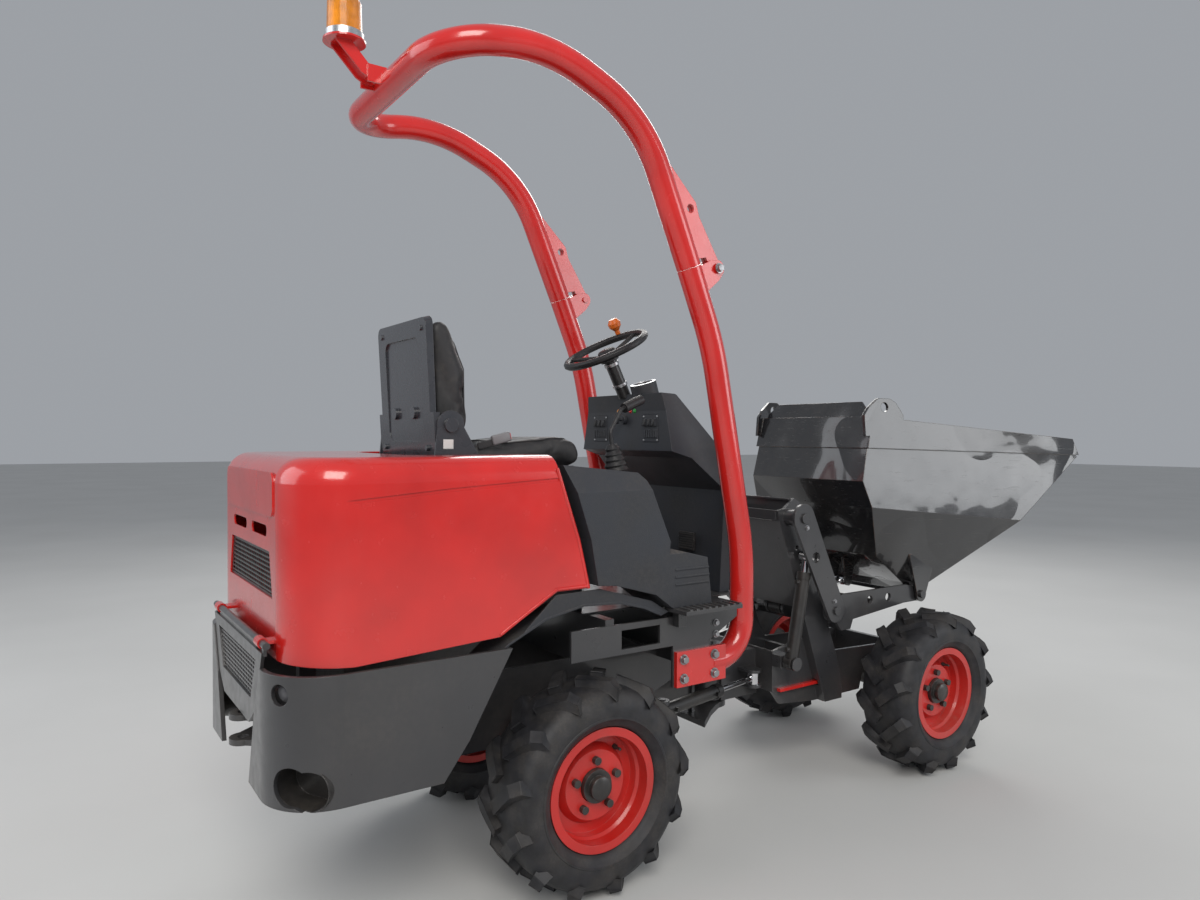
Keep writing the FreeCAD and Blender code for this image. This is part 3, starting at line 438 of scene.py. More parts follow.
@dataclass(frozen=True)
class Rubber:
    """Tyre rubber, greyed, with soil held in the low places."""

    name: str
    colour: Colour = (0.011, 0.011, 0.013)
    soil: float = 0.20
    blotches: Grain = Grain(14.0, 7.0, 0.42, 0.66)
    grit: Grain = Grain(160.0, 4.0, 0.45, 0.7)
    greying: Grain = Grain(30.0, 3.0, 0.3, 0.7)
    lumps: Relief = Relief(34.0, 6.0, 0.0016, 0.5)
    pores: Relief = Relief(420.0, 3.0, 0.0005, 0.5)

    def build(self) -> bpy.types.Material:
        """Make the material."""
        s = NodeSheet(self.name)
        grit = s.plus(s.times(s.grain(self.grit), 0.5), 0.5)
        mask = s.times(s.times(s.grain(self.blotches), grit), self.soil * 0.7)
        base = s.mix(s.grain(self.greying), self.colour, tint(self.colour, 2.0))
        s.feed("Base Color", s.mix(mask, base, tint(DUST, 0.75)))
        s.feed("Roughness", s.ramp(mask, 0.0, 0.6, 0.58, 0.92))
        s.feed("Normal", s.relief(self.pores, s.relief(self.lumps)))
        return s.material


@dataclass(frozen=True)
class Vinyl:
    """Seat vinyl with a leather grain, shiny where it is sat on."""

    name: str
    colour: Colour = (0.016, 0.016, 0.018)
    dust: float = 0.07
    leather: float = 520.0
    polish: Grain = Grain(9.0, 5.0, 0.35, 0.7)
    dirt: Grain = Grain(46.0, 5.0, 0.5, 0.75)
    creases: Relief = Relief(26.0, 6.0, 0.0022, 0.35, (1.0, 0.5, 1.0))

    def build(self) -> bpy.types.Material:
        """Make the material."""
        s = NodeSheet(self.name)
        s.feed("Base Color", s.mix(s.times(s.grain(self.dirt), self.dust), self.colour, DUST))
        s.feed("Roughness", s.ramp(s.grain(self.polish), 0.0, 1.0, 0.36, 0.62))
        scales = s.ramp(s.cells("DISTANCE_TO_EDGE", self.leather), 0.0, 0.16)
        s.feed("Normal", s.bump(scales, 0.0005, 0.6, s.relief(self.creases)))
        s.set(Coat_Weight=0.12, Coat_Roughness=0.35)
        return s.material


@dataclass(frozen=True)
class Metal:
    """Plated or bare metal with turning marks and tarnish."""

    name: str
    colour: Colour
    roughness: float = 0.2
    tarnish: float = 0.3
    stains: Grain = Grain(22.0, 7.0, 0.45, 0.75)
    turning: Relief = Relief(600.0, 2.0, 0.0002, 0.4, (1.0, 1.0, 0.2))

    def build(self) -> bpy.types.Material:
        """Make the material."""
        s = NodeSheet(self.name)
        stain = s.grain(self.stains)
        s.feed("Base Color", s.mix(s.times(stain, self.tarnish), self.colour,
                                   tint(self.colour, 0.45)))
        s.feed("Roughness", s.ramp(stain, 0.0, 1.0, self.roughness, self.roughness * 1.9))
        s.feed("Normal", s.relief(self.turning))
        s.set(Metallic=1.0)
        return s.material


@dataclass(frozen=True)
class LampLens:
    """Coloured clear plastic with moulded flutes inside."""

    name: str
    colour: Colour
    flutes: float = 220.0
    depths: Grain = Grain(30.0, 4.0, 0.4, 0.7)
    gloss: Grain = Grain(60.0, 4.0, 0.3, 0.8)

    def build(self) -> bpy.types.Material:
        """Make the material."""
        s = NodeSheet(self.name)
        wave = s.add("ShaderNodeTexWave", wave_type="BANDS", bands_direction="Z")
        wave.inputs["Scale"].default_value = self.flutes
        s.link(s.object_coords, wave.inputs["Vector"])
        s.feed("Base Color", s.mix(s.grain(self.depths), self.colour, tint(self.colour, 0.7)))
        s.feed("Roughness", s.grain(self.gloss, 0.08, 0.2))
        s.feed("Normal", s.bump(wave.outputs["Fac"], 0.0008, 0.35))
        s.set(Transmission_Weight=0.35, IOR=1.49, Coat_Weight=0.4, Coat_Roughness=0.05)
        return s.material


@dataclass(frozen=True)
class WornBlack:
    """Glossy black skip paint with rub marks, shallow dents, dried soil and rusty edges."""

    name: str
    colour: Colour = (0.012, 0.012, 0.014)
    rubbed: Colour = (0.10, 0.095, 0.09)
    rust: Colour = (0.13, 0.055, 0.025)
    edge_radius: float = 0.004
    rubbing: float = 0.22
    marks: Grain = Grain(30.0, 3.0, 0.60, 0.78, (0.35, 1.0, 6.0))
    soil: Grain = Grain(2.6, 7.0, 0.42, 0.68)
    grit: Grain = Grain(48.0, 6.0, 0.3, 0.7)
    rusting: Grain = Grain(30.0, 6.0, 0.42, 0.6)
    gloss: Grain = Grain(8.0, 5.0, 0.3, 0.7)
    dents: Grain = Grain(2.4, 1.0, 0.45, 0.75)
    dent_depth: float = 0.030
    ripple: Relief = Relief(6.5, 1.5, 0.006, 0.5)
    peel: Relief = Relief(180.0, 3.0, 0.0004, 0.3)

    def build(self) -> bpy.types.Material:
        """Make the material."""
        s = NodeSheet(self.name)
        normal, sharp = s.edge(self.edge_radius)
        marks = s.grain(self.marks)
        soil = s.times(s.grain(self.soil), s.grain(self.grit, 0.3, 1.0))
        soil = s.times(soil, s.plus(s.times(s.facing_up(), 0.45), 0.07))
        base = s.mix(s.times(marks, self.rubbing), self.colour, self.rubbed)
        base = s.mix(s.times(sharp, s.grain(self.rusting, 0.0, 0.75)), base, self.rust)
        s.feed("Base Color", s.mix(soil, base, DUST))
        rough = s.plus(s.times(marks, self.rubbing), s.times(soil, 0.6))
        s.feed("Roughness", s.plus(rough, s.grain(self.gloss, 0.12, 0.22)))
        dents = s.bump(s.grain(self.dents), self.dent_depth, 0.6, normal)
        ripple = s.relief(self.ripple, dents)
        s.feed("Normal", s.relief(self.peel, ripple))
        s.feed("Coat Normal", ripple)
        s.set(Coat_Weight=0.9, Coat_Roughness=0.04)
        return s.material


class Finishes:
    """Every finish of the machine, built once."""

    def __init__(self) -> None:
        """Build the materials."""
        self.red = Paint("red_paint", (0.66, 0.010, 0.008), roughness=0.22, coat=0.9, dust=0.10,
                         wear=0.10).build()
        self.rim_red = Paint("rim_red", (0.60, 0.013, 0.010), roughness=0.36, coat=0.4,
                             dust=0.22, wear=0.4).build()
        self.dark = Paint("dark_paint", (0.034, 0.035, 0.040), roughness=0.32, coat=0.5,
                          dust=0.20).build()
        self.black = Paint("black_steel", (0.014, 0.014, 0.016), roughness=0.36, coat=0.2,
                           dust=0.4, wear=0.5).build()
        self.casting = Paint("casting", (0.055, 0.055, 0.058), roughness=0.6, coat=0.0,
                             peel=0.002, dust=0.6).build()
        self.plastic = Plastic("dark_plastic", (0.026, 0.029, 0.037)).build()
        self.grip = Plastic("grip_plastic", (0.012, 0.012, 0.014), roughness=0.42, grain=0.0009,
                            dust=0.12).build()
        self.pan = Paint("pan_grey", (0.030, 0.034, 0.044), roughness=0.26, dust=0.12,
                         wear=0.25).build()
        self.orange = Plastic("orange_knob", (0.80, 0.16, 0.015), roughness=0.25, grain=0.0001,
                              dust=0.1).build()
        self.tyre = Rubber("tyre_rubber").build()
        self.vinyl = Vinyl("seat_vinyl").build()
        self.chrome = Metal("plated_rod", (0.72, 0.72, 0.74), roughness=0.09,
                            tarnish=0.2).build()
        self.silver = Metal("silver", (0.62, 0.63, 0.65), roughness=0.26).build()
        self.zinc = Metal("zinc_bolt", (0.40, 0.40, 0.41), roughness=0.34, tarnish=0.6).build()
        self.amber = LampLens("amber_lens", (0.95, 0.33, 0.01)).build()
        self.skip = WornBlack("skip_paint").build()
        self.dial = Plastic("dial_black", (0.01, 0.01, 0.011), roughness=0.5, grain=0.0001,
                            dust=0.02).build()
        self.white = Plastic("white_marks", (0.75, 0.75, 0.73), roughness=0.4, grain=0.0001,
                             dust=0.08).build()
        self.grey_plastic = Plastic("grey_plastic", (0.20, 0.20, 0.21), roughness=0.4,
                                    dust=0.15).build()
        self.lamp_grey = Plastic("lamp_grey", (0.10, 0.10, 0.11), roughness=0.25, grain=0.0002,
                                 dust=0.3).build()
        self.lamp_red = LampLens("red_lens", (0.75, 0.02, 0.015)).build()
        self.lamp_green = LampLens("green_lens", (0.03, 0.45, 0.06)).build()

    def dress(self, frame: dict) -> None:
        """Give every CAD node its finish.
        """
        by_slot = {
            "red_paint": self.red, "dark_paint": self.dark, "skip_paint": self.skip,
            "plastic_dark": self.plastic, "tyre": self.tyre, "seat_vinyl": self.vinyl,
            "seat_pan": self.pan, "chrome": self.chrome, "amber": self.amber,
            "silver": self.silver, "orange": self.orange, "engine_iron": self.casting,
            "black_steel": self.black}
        own = {"steering_wheel": self.grip, "control_lever": self.grip}
        own.update({f"rim_{wheel}": self.rim_red for wheel in WHEELS})
        for part in frame["record"]["subparts"]:
            node = part["node"]
            mesh = frame["nodes"][node].data
            mesh.materials.clear()
            mesh.materials.append(own.get(node, by_slot[part["material_slot"]]))


# Mesh tools


@dataclass(frozen=True)
class Bolt:
    """Hex head on a washer. Metres, and shares of the head's width."""

    across: float
    height: float
    head: tuple[float, float] = (0.58, 0.54)
    washer: tuple[float, float] = (0.72, 0.70)
    washer_thickness: float = 0.003
    washer_middle: float = 0.0012
    head_foot: float = 0.002
    chamfer: float = 0.0008


class Piece:
    """A mesh under construction that becomes one object at the origin."""

    def __init__(self, name: str) -> None:
        """Start an empty mesh.

        Args:
            name: Name of the finished object.
        """
        self.name = name
        self.bm = bmesh.new()

    def lathe(self, section: Section | list[tuple[float, float]], centre: Vector, axis: Vector,
              steps: int = 32) -> None:
        """Spin a section round an axis.

        Args:
            section: Points as (radius, distance along the axis), from end to end.
            centre: Where distance is zero.
            axis: Direction of the axis.
            steps: Facets in a full turn.
        """
        place = Matrix.Translation(centre) @ facing(axis)
        verts = [self.bm.verts.new(place @ Vector((r, 0.0, h))) for r, h in section]
        edges = [self.bm.edges.new(pair) for pair in zip(verts, verts[1:])]
        bmesh.ops.spin(self.bm, geom=verts + edges, cent=centre, axis=axis, angle=math.tau,
                       steps=steps, use_merge=True, use_duplicate=False)

    def block(self, place: Matrix, size: Triple, rounding: float = 0.0,
              segments: int = 2) -> None:
        """Add a block, with rounded edges where a rounding is given.

        Args:
            place: Where its middle goes, and its turn.
            size: Its three edges.
            rounding: Width of the rounding.
            segments: Facets of the rounding.
        """
        made = bmesh.ops.create_cube(self.bm, size=1.0,
                                     matrix=place @ Matrix.Diagonal((*size, 1.0)))
        if rounding:
            edges = list(dict.fromkeys(e for v in made["verts"] for e in v.link_edges))
            bmesh.ops.bevel(self.bm, geom=edges, offset=rounding, segments=segments,
                            affect="EDGES", profile=0.5, material=-1)

    def add(self, mesh: bpy.types.Mesh, place: Matrix) -> None:
        """Add a copy of a mesh.

        Args:
            mesh: Mesh to copy.
            place: Where the copy goes.
        """
        first = len(self.bm.verts)
        self.bm.from_mesh(mesh)
        self.bm.verts.ensure_lookup_table()
        bmesh.ops.transform(self.bm, matrix=place, verts=self.bm.verts[first:])

    def hex_head(self, place: Vector, axis: Vector, bolt: Bolt) -> None:
        """Add a bolt's head with a washer, standing on a surface.

        Args:
            place: Point of the surface.
            axis: Outward direction.
            bolt: Sizes of the bolt.
        """
        turn = Matrix.Translation(place) @ facing(axis)
        across = bolt.across
        bmesh.ops.create_cone(self.bm, cap_ends=True, segments=20,
                              radius1=across * bolt.washer[0], radius2=across * bolt.washer[1],
                              depth=bolt.washer_thickness,
                              matrix=turn @ Matrix.Translation((0, 0, bolt.washer_middle)))
        middle = bolt.head_foot + bolt.height / 2
        head = bmesh.ops.create_cone(self.bm, cap_ends=True, segments=6,
                                     radius1=across * bolt.head[0], radius2=across * bolt.head[1],
                                     depth=bolt.height,
                                     matrix=turn @ Matrix.Translation((0, 0, middle)))
        rims = list(dict.fromkeys(e for v in head["verts"] for e in v.link_edges))
        bmesh.ops.bevel(self.bm, geom=rims, offset=bolt.chamfer, segments=1, affect="EDGES",
                        profile=0.5, material=-1)

    def finish(self, material: bpy.types.Material, body: str,
               smooth: float = 40.0) -> bpy.types.Object:
        """Close the mesh and make it ride on a body.

        Args:
            material: Finish of the piece.
            body: Body that it moves with.
            smooth: Largest angle in degrees that is shaded smooth.

        Returns:
            The finished object.
        """
        bmesh.ops.remove_doubles(self.bm, verts=self.bm.verts, dist=1e-6)
        bmesh.ops.recalc_face_normals(self.bm, faces=self.bm.faces)
        for face in self.bm.faces:
            face.smooth = True
        for edge in self.bm.edges:
            if len(edge.link_faces) == 2 and edge.calc_face_angle(0.0) > math.radians(smooth):
                edge.smooth = False
        mesh = bpy.data.meshes.new(self.name)
        self.bm.to_mesh(mesh)
        self.bm.free()
        mesh.materials.append(material)
        piece = bpy.data.objects.new(self.name, mesh)
        bpy.context.collection.objects.link(piece)
        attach(piece, body)
        LOG.info("%s: %d faces", self.name, len(mesh.polygons))
        return piece


# Sub-assemblies


@dataclass
class LugTyre:
    """Lug tyre with rounded shoulders and bevelled, curved bars. Sizes in metres."""

    outer: float = 0.3000
    floor: float = 0.278
    half_width: float = 0.1045
    bead: float = 0.1535
    rim_half: float = 0.079
    steps: int = 90
    smooth: float = 34.0
    lugs_per_side: int = 13
    lug_width: float = 0.028
    slant: float = math.radians(40)
    bar_length: float = 0.122
    bar_reach: float = 0.058      # from the bar's inner end to its anchor
    bar_anchor: float = 0.048     # from the middle of the tread
    bar_cuts: int = 4
    foot_depth: float = 0.012     # how far a bar is sunk in the casing
    foot_flare: float = 1.35      # width of a bar's foot over its top
    outer_flare: float = 2.0      # how fast a bar widens outwards, per metre
    shoulder: float = 0.044       # distance along a bar where it starts to fall
    top_fall: float = 1.1
    foot_fall: float = 0.9
    chamfer: float = 0.0022

    def section(self) -> list[tuple[float, float]]:
        """Return the closed outline of the casing as (radius, distance across)."""
        half, rim, low, floor = self.half_width, self.rim_half, self.bead, self.floor
        right = [(floor + 0.001, 0.0), (floor, 0.04), (floor - 0.004, 0.07),
                 (floor - 0.013, 0.088), (floor - 0.030, 0.099), (0.226, half),
                 (0.205, half - 0.001), (0.203, half + 0.001), (0.198, half + 0.001),
                 (0.196, half - 0.002), (0.182, half - 0.011), (0.1735, rim + 0.006),
                 (0.1715, rim - 0.003), (0.165, rim - 0.006), (low, rim - 0.008), (low, 0.03)]
        left = [(r, -y) for r, y in reversed(right[1:])]
        return right + left

    def bar(self) -> bpy.types.Mesh:
        """Make one tread bar, bent round a wheel at the origin and standing at its top.

        Returns:
            The bar's mesh.
        """
        bm = bmesh.new()
        bmesh.ops.create_cube(bm, size=1.0)
        long_edges = [e for e in bm.edges if abs(e.verts[0].co.x - e.verts[1].co.x) > 0.5]
        bmesh.ops.subdivide_edges(bm, edges=long_edges, cuts=self.bar_cuts)
        across, along = math.cos(self.slant), math.sin(self.slant)
        for vert in bm.verts:
            u = (vert.co.x + 0.5) * self.bar_length - self.bar_reach
            drop = max(0.0, u - self.shoulder)
            w = vert.co.y * self.lug_width * (1.0 + self.outer_flare * max(0.0, u))
            if vert.co.z > 0:
                radius = self.outer - self.top_fall * drop
            else:
                radius = self.floor - self.foot_depth - self.foot_fall * drop
                w *= self.foot_flare
            y = self.bar_anchor + u * across - w * along
            angle = (u * along + w * across) / self.floor
            vert.co = Vector((radius * math.sin(angle), y, radius * math.cos(angle)))
        rims = [e for e in bm.edges if len(e.link_faces) == 2 and e.calc_face_angle(0.0) > 0.7]
        bmesh.ops.bevel(bm, geom=rims, offset=self.chamfer, segments=2, affect="EDGES",
                        profile=0.5, material=-1)
        mesh = bpy.data.meshes.new("tread_bar")
        bm.to_mesh(mesh)
        bm.free()
        return mesh

    def build(self, wheel: str, finishes: Finishes) -> None:
        """Make the tyre of one wheel.

        Args:
            wheel: Ending of the wheel's names, such as "rl".
            finishes: The machine's finishes.
        """
        node = f"tyre_{wheel}"
        middle = centre_of(node)
        centre = Vector((centre_of(f"rim_{wheel}").x, middle.y, middle.z))
        piece = Piece(f"lug_tyre_{wheel}")
        outline = self.section()
        piece.lathe(outline + outline[:1], centre, Axis.LEFT.value, self.steps)
        bar = self.bar()
        outside = 1.0 if centre.y > 0 else -1.0
        for k in range(2 * self.lugs_per_side):
            hand = outside if k % 2 == 0 else -outside
            turn = Matrix.Rotation(math.pi * k / self.lugs_per_side, 4, "Y")
            mirror = Matrix.Diagonal((1.0, hand, 1.0, 1.0))
            piece.add(bar, Matrix.Translation(centre) @ turn @ mirror)
        tyre = piece.finish(finishes.tyre, f"wheel_{wheel}", self.smooth)
        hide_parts(node)


@dataclass
class WheelTrim:
    """Valve and hub cap of one rim. Sizes in metres."""

    valve_offset: float = 0.118 * 0.7   # along and up from the axle
    valve_inset: float = 0.03
    disc_inset: float = 0.024           # from the hub's end to the wheel disc
    cap_lift: float = 0.0235            # from the wheel disc to the cap's foot
    valve: Section = ((0.0, 0.0), (0.008, 0.0), (0.0075, 0.012), (0.0045, 0.016),
                      (0.0042, 0.034), (0.0, 0.036))
    cap: Section = ((0.0, 0.0), (0.033, 0.0), (0.033, 0.010), (0.028, 0.014), (0.0, 0.015))

    def build(self, wheel: str, finishes: Finishes) -> None:
        """Dress one wheel.

        Args:
            wheel: Ending of the wheel's names, such as "rl".
            finishes: The machine's finishes.
        """
        centre = centre_of(f"rim_{wheel}")
        low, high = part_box(f"hub_{wheel}")
        side, end = (1.0, high[1]) if centre.y > 0 else (-1.0, low[1])
        out = Vector((0.0, side, 0.0))
        face = Vector((centre.x, side * (abs(end) - self.disc_inset), centre.z))
        foot = face + Vector((self.valve_offset, -side * self.valve_inset, self.valve_offset))
        piece = Piece(f"wheel_trim_{wheel}")
        piece.lathe(self.valve, foot, out, 16)
        piece.lathe(self.cap, face + out * self.cap_lift, out, 32)
        piece.finish(finishes.black, f"wheel_{wheel}")


@dataclass
class Seat:
    """Padded cushion and back of the driver's seat, with piping and a blank sticker.

    Sizes are in metres, the sticker's place in millimetres from the rear axle.
    """

    corner: float = 0.016
    fill: float = 0.75
    voxel: float = 0.006
    pressure: float = 4.0
    cloth_frames: int = 15
    most_swell: float = 0.011
    piping: float = 0.0030
    piping_points: int = 160
    squareness: float = 0.35
    cushion_border: tuple[float, float] = (0.030, 0.026)
    back_border: tuple[float, float] = (0.026, 0.034)
    sticker_place: Triple = (-345.0, -214.7, 1243.0)
    sticker_size: Triple = (0.030, 0.0006, 0.026)

    def pad(self, name: str, node: str, profile: Section, half: float,
            finishes: Finishes) -> bpy.types.Object:
        """Make one padded piece from its side outline.

        Args:
            name: Name of the piece.
            node: CAD node that it stands for.
            profile: Side outline as (x, z).
            half: Half of its width.
            finishes: The machine's finishes.

        Returns:
            The padded object.
        """
        bm = bmesh.new()
        face = bm.faces.new([bm.verts.new((x, -half, z)) for x, z in profile])
        wall = bmesh.ops.extrude_face_region(bm, geom=[face])
        moved = [g for g in wall["geom"] if isinstance(g, bmesh.types.BMVert)]
        bmesh.ops.translate(bm, verts=moved, vec=(0.0, 2 * half, 0.0))
        bmesh.ops.recalc_face_normals(bm, faces=bm.faces)
        bmesh.ops.bevel(bm, geom=list(bm.edges), offset=self.corner, segments=3,
                        affect="EDGES", profile=0.5, material=-1)
        mesh = bpy.data.meshes.new(name)
        bm.to_mesh(mesh)
        bm.free()
        pad = bpy.data.objects.new(name, mesh)
        bpy.context.collection.objects.link(pad)
        self.inflate(pad)
        pad.data.materials.clear()
        pad.data.materials.append(finishes.vinyl)
        for polygon in pad.data.polygons:
            polygon.use_smooth = True
        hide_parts(node)
        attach(pad, REAR_MODULE)
        LOG.info("%s: %d faces", name, len(pad.data.polygons))
        return pad

    def apply(self, pad: bpy.types.Object) -> None:
        """Apply every modifier of a pad to its mesh.

        Args:
            pad: The pad's object, changed in place.
        """
        shape = pad.evaluated_get(bpy.context.evaluated_depsgraph_get())
        mesh = bpy.data.meshes.new_from_object(shape)
        pad.modifiers.clear()
        pad.data = mesh

    def inflate(self, pad: bpy.types.Object) -> None:
        """Swell a pad with cloth pressure, no further than most_swell.

        Args:
            pad: The pad's object, changed in place.
        """
        remesh = pad.modifiers.new("remesh", "REMESH")
        remesh.mode = "VOXEL"
        remesh.voxel_size = self.voxel
        self.apply(pad)
        start = [v.co.copy() for v in pad.data.vertices]
        cloth = pad.modifiers.new("cloth", "CLOTH")
        cloth.settings.use_pressure = True
        cloth.settings.uniform_pressure_force = self.pressure
        cloth.settings.effector_weights.gravity = 0.0
        cloth.settings.quality = 5
        for frame_number in range(1, self.cloth_frames + 1):
            bpy.context.scene.frame_set(frame_number)
        self.apply(pad)
        for vert, home in zip(pad.data.vertices, start):
            shift = vert.co - home
            if shift.length > self.most_swell:
                vert.co = home + shift.normalized() * self.most_swell
        bpy.context.scene.frame_set(1)
        smooth = pad.modifiers.new("smooth", "SMOOTH")
        smooth.factor = 0.5
        smooth.iterations = 6
        self.apply(pad)

    def seam(self, pad: bpy.types.Object, name: str, middle: Vector, wide: Vector, tall: Vector,
             finishes: Finishes) -> None:
        """Lay piping on a pad along a rounded rectangle pressed onto its surface.

        Args:
            pad: The pad that carries the piping.
            name: Name of the piece.
            middle: Middle of the rectangle.
            wide: Half of its width, as a vector.
            tall: Half of its height, as a vector.
            finishes: The machine's finishes.
        """
        curve = bpy.data.curves.new(name, "CURVE")
        curve.dimensions = "3D"
        curve.bevel_depth = self.piping
        curve.bevel_resolution = 2
        line = curve.splines.new("POLY")
        line.points.add(self.piping_points - 1)
        line.use_cyclic_u = True
        for k, point in enumerate(line.points):
            turn = math.tau * k / self.piping_points
            u, v = (math.copysign(abs(part) ** self.squareness, part)
                    for part in (math.cos(turn), math.sin(turn)))
            found, place, _, _ = pad.closest_point_on_mesh(middle + wide * u + tall * v)
            point.co = (*(place if found else middle), 1.0)
        holder = bpy.data.objects.new(name + "_curve", curve)
        bpy.context.collection.objects.link(holder)
        round_line = holder.evaluated_get(bpy.context.evaluated_depsgraph_get())
        mesh = bpy.data.meshes.new_from_object(round_line)
        bpy.data.objects.remove(holder)
        piping = Piece(name)
        piping.bm.from_mesh(mesh)
        piping.finish(finishes.grip, REAR_MODULE)

    def cushion(self, finishes: Finishes) -> None:
        """Make the cushion and its piping.

        Args:
            finishes: The machine's finishes.
        """
        low, high = (Vector(corner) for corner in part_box("seat_cushion"))
        inset = self.most_swell * 0.75
        x0, x1, z0, z1 = low.x + inset, high.x - inset, low.z + 0.002, high.z - inset
        outline = ((x0, z0), (x1 - 0.01, z0), (x1, z0 + 0.03), (x1 - 0.02, z1 - 0.004),
                   (x1 - 0.09, z1), (x0 + 0.12, z1 - 0.016), (x0, z1 - 0.010))
        pad = self.pad("cushion_pad", "seat_cushion", outline, high.y - inset, finishes)
        border_x, border_y = self.cushion_border
        middle = Vector(((low.x + high.x) / 2, 0.0, high.z))
        self.seam(pad, "cushion_piping", middle,
                  Vector(((high.x - low.x) / 2 - border_x, 0.0, 0.0)),
                  Vector((0.0, high.y - border_y, 0.0)), finishes)

    def back(self, finishes: Finishes) -> None:
        """Make the backrest and its piping.

        Args:
            finishes: The machine's finishes.
        """
        low, high = (Vector(corner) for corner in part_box("seat_back"))
        inset = self.most_swell * 0.75
        rear_low, rear_top = high.x - 0.098, low.x + 0.004
        outline = ((rear_low, low.z + inset), (high.x - 0.042, low.z + inset),
                   (high.x - inset, low.z + 0.09), (high.x - inset, low.z + 0.24),
                   (high.x - 0.062, high.z - 0.022), (rear_top + 0.024, high.z - inset),
                   (rear_top, high.z - 0.03))
        pad = self.pad("back_pad", "seat_back", outline, high.y - inset, finishes)
        border_y, border_z = self.back_border
        middle = Vector((high.x, 0.0, (low.z + high.z) / 2))
        self.seam(pad, "back_piping", middle, Vector((0.0, high.y - border_y, 0.0)),
                  Vector((0.0, 0.0, (high.z - low.z) / 2 - border_z)), finishes)

    def build(self, finishes: Finishes) -> None:
        """Make the cushion, the back and the blank sticker on the seat's side.

        Args:
            finishes: The machine's finishes.
        """
        self.cushion(finishes)
        self.back(finishes)
        sticker = Piece("blank_sticker")
        sticker.block(Matrix.Translation(at(*self.sticker_place)), self.sticker_size)
        sticker.finish(finishes.white, REAR_MODULE)


@dataclass
class ChassisTrim:
    """Bolts, tie-down cups and lamps of the rear chassis.

    Places are in millimetres from the rear axle, sizes in metres.
    """

    foot_face: float = 408.0
    foot_columns: tuple[float, ...] = (330.0, 452.0)
    foot_rows: tuple[float, ...] = (540.0, 598.0)
    foot_bolt: Bolt = Bolt(0.022, 0.011)
    plate_face: float = 394.0
    plate_column: float = 470.0
    plate_rows: tuple[float, ...] = (655.0, 690.0)
    plate_bolt: Bolt = Bolt(0.016, 0.008)
    pocket_low: Triple = (-700.0, 310.0, 470.0)      # a point of the hole's first axis
    pocket_aim: Triple = (-800.0, 385.0, 470.0)      # a point farther out on it
    pocket_shift: Triple = (0.030, 0.026, -0.008)    # step to the hole's second axis
    pocket_radius: float = 0.050
    pocket_front: float = 0.123
    pocket_depth: float = 0.07
    pocket_wall: float = 0.002
    pocket_points: int = 48
    lamp_low: Triple = (-740.0, 300.0, 678.0)
    lamp_aim: Triple = (-830.0, 372.0, 678.0)
    lamp_radius: float = 0.0245

    def bolts(self, finishes: Finishes) -> None:
        """Add the bolts of the roll frame's feet and the side plates.

        Args:
            finishes: The machine's finishes.
        """
        piece = Piece("chassis_bolts")
        places = [(x, self.foot_face, z, self.foot_bolt)
                  for x in self.foot_columns for z in self.foot_rows]
        places += [(self.plate_column, self.plate_face, z, self.plate_bolt)
                   for z in self.plate_rows]
        for x, y, z, bolt in places:
            for place, out in sides(x, y, z):
                piece.hex_head(place, out, bolt)
        piece.finish(finishes.zinc, REAR_MODULE)

    def pocket(self, piece: Piece, low: Vector, out: Vector, shift: Vector) -> None:
        """Add one oval cup behind the bumper's plate.

        Args:
            piece: Mesh to add to.
            low: Inner end of the hole's first axis.
            out: Direction of the hole.
            shift: Step from the hole's first axis to its second.
        """
        across = (shift - out * shift.dot(out)).normalized()
        upward = out.cross(across)
        ring = []
        for k in range(self.pocket_points):
            turn = math.tau * (k + 0.5) / self.pocket_points
            middle = low + out * self.pocket_front + (shift if math.cos(turn) > 0 else Vector())
            reach = across * math.cos(turn) + upward * math.sin(turn)
            ring.append(piece.bm.verts.new(middle + reach * self.pocket_radius))
        edges = [piece.bm.edges.new((ring[k - 1], ring[k])) for k in range(self.pocket_points)]
        deeper = bmesh.ops.extrude_edge_only(piece.bm, edges=edges)["geom"]
        moved = [g for g in deeper if isinstance(g, bmesh.types.BMVert)]
        bmesh.ops.translate(piece.bm, verts=moved, vec=out * -self.pocket_depth)
        rim = [g for g in deeper if isinstance(g, bmesh.types.BMEdge)]
        floor = bmesh.ops.contextual_create(piece.bm, geom=rim)
        walls = list(dict.fromkeys(f for v in ring for f in v.link_faces)) + floor["faces"]
        bmesh.ops.solidify(piece.bm, geom=walls, thickness=self.pocket_wall)

    def pockets(self, finishes: Finishes) -> None:
        """Line the bumper's oval tie-down holes and put lamps in its round holes.

        Args:
            finishes: The machine's finishes.
        """
        piece = Piece("bumper_pockets")
        lamps = Piece("corner_lamps")
        r = self.lamp_radius
        lens = ((0.0, 0.096), (r * 0.55, 0.094), (r * 0.86, 0.088), (r * 0.9, 0.070),
                (r * 0.9, 0.03), (0.0, 0.03))
        for side in (1.0, -1.0):
            hand = Vector((1.0, side, 1.0))
            low, aim, base, ahead = (
                at(*(Vector(point) * hand)) for point in
                (self.pocket_low, self.pocket_aim, self.lamp_low, self.lamp_aim))
            self.pocket(piece, low, (aim - low).normalized(), Vector(self.pocket_shift) * hand)
            lamps.lathe(lens, base, (ahead - base).normalized(), 40)
        piece.finish(finishes.black, REAR_MODULE)
        lamps.finish(finishes.lamp_grey, REAR_MODULE)

    def build(self, finishes: Finishes) -> None:
        """Build all the chassis trim.

        Args:
            finishes: The machine's finishes.
        """
        self.bolts(finishes)
        self.pockets(finishes)


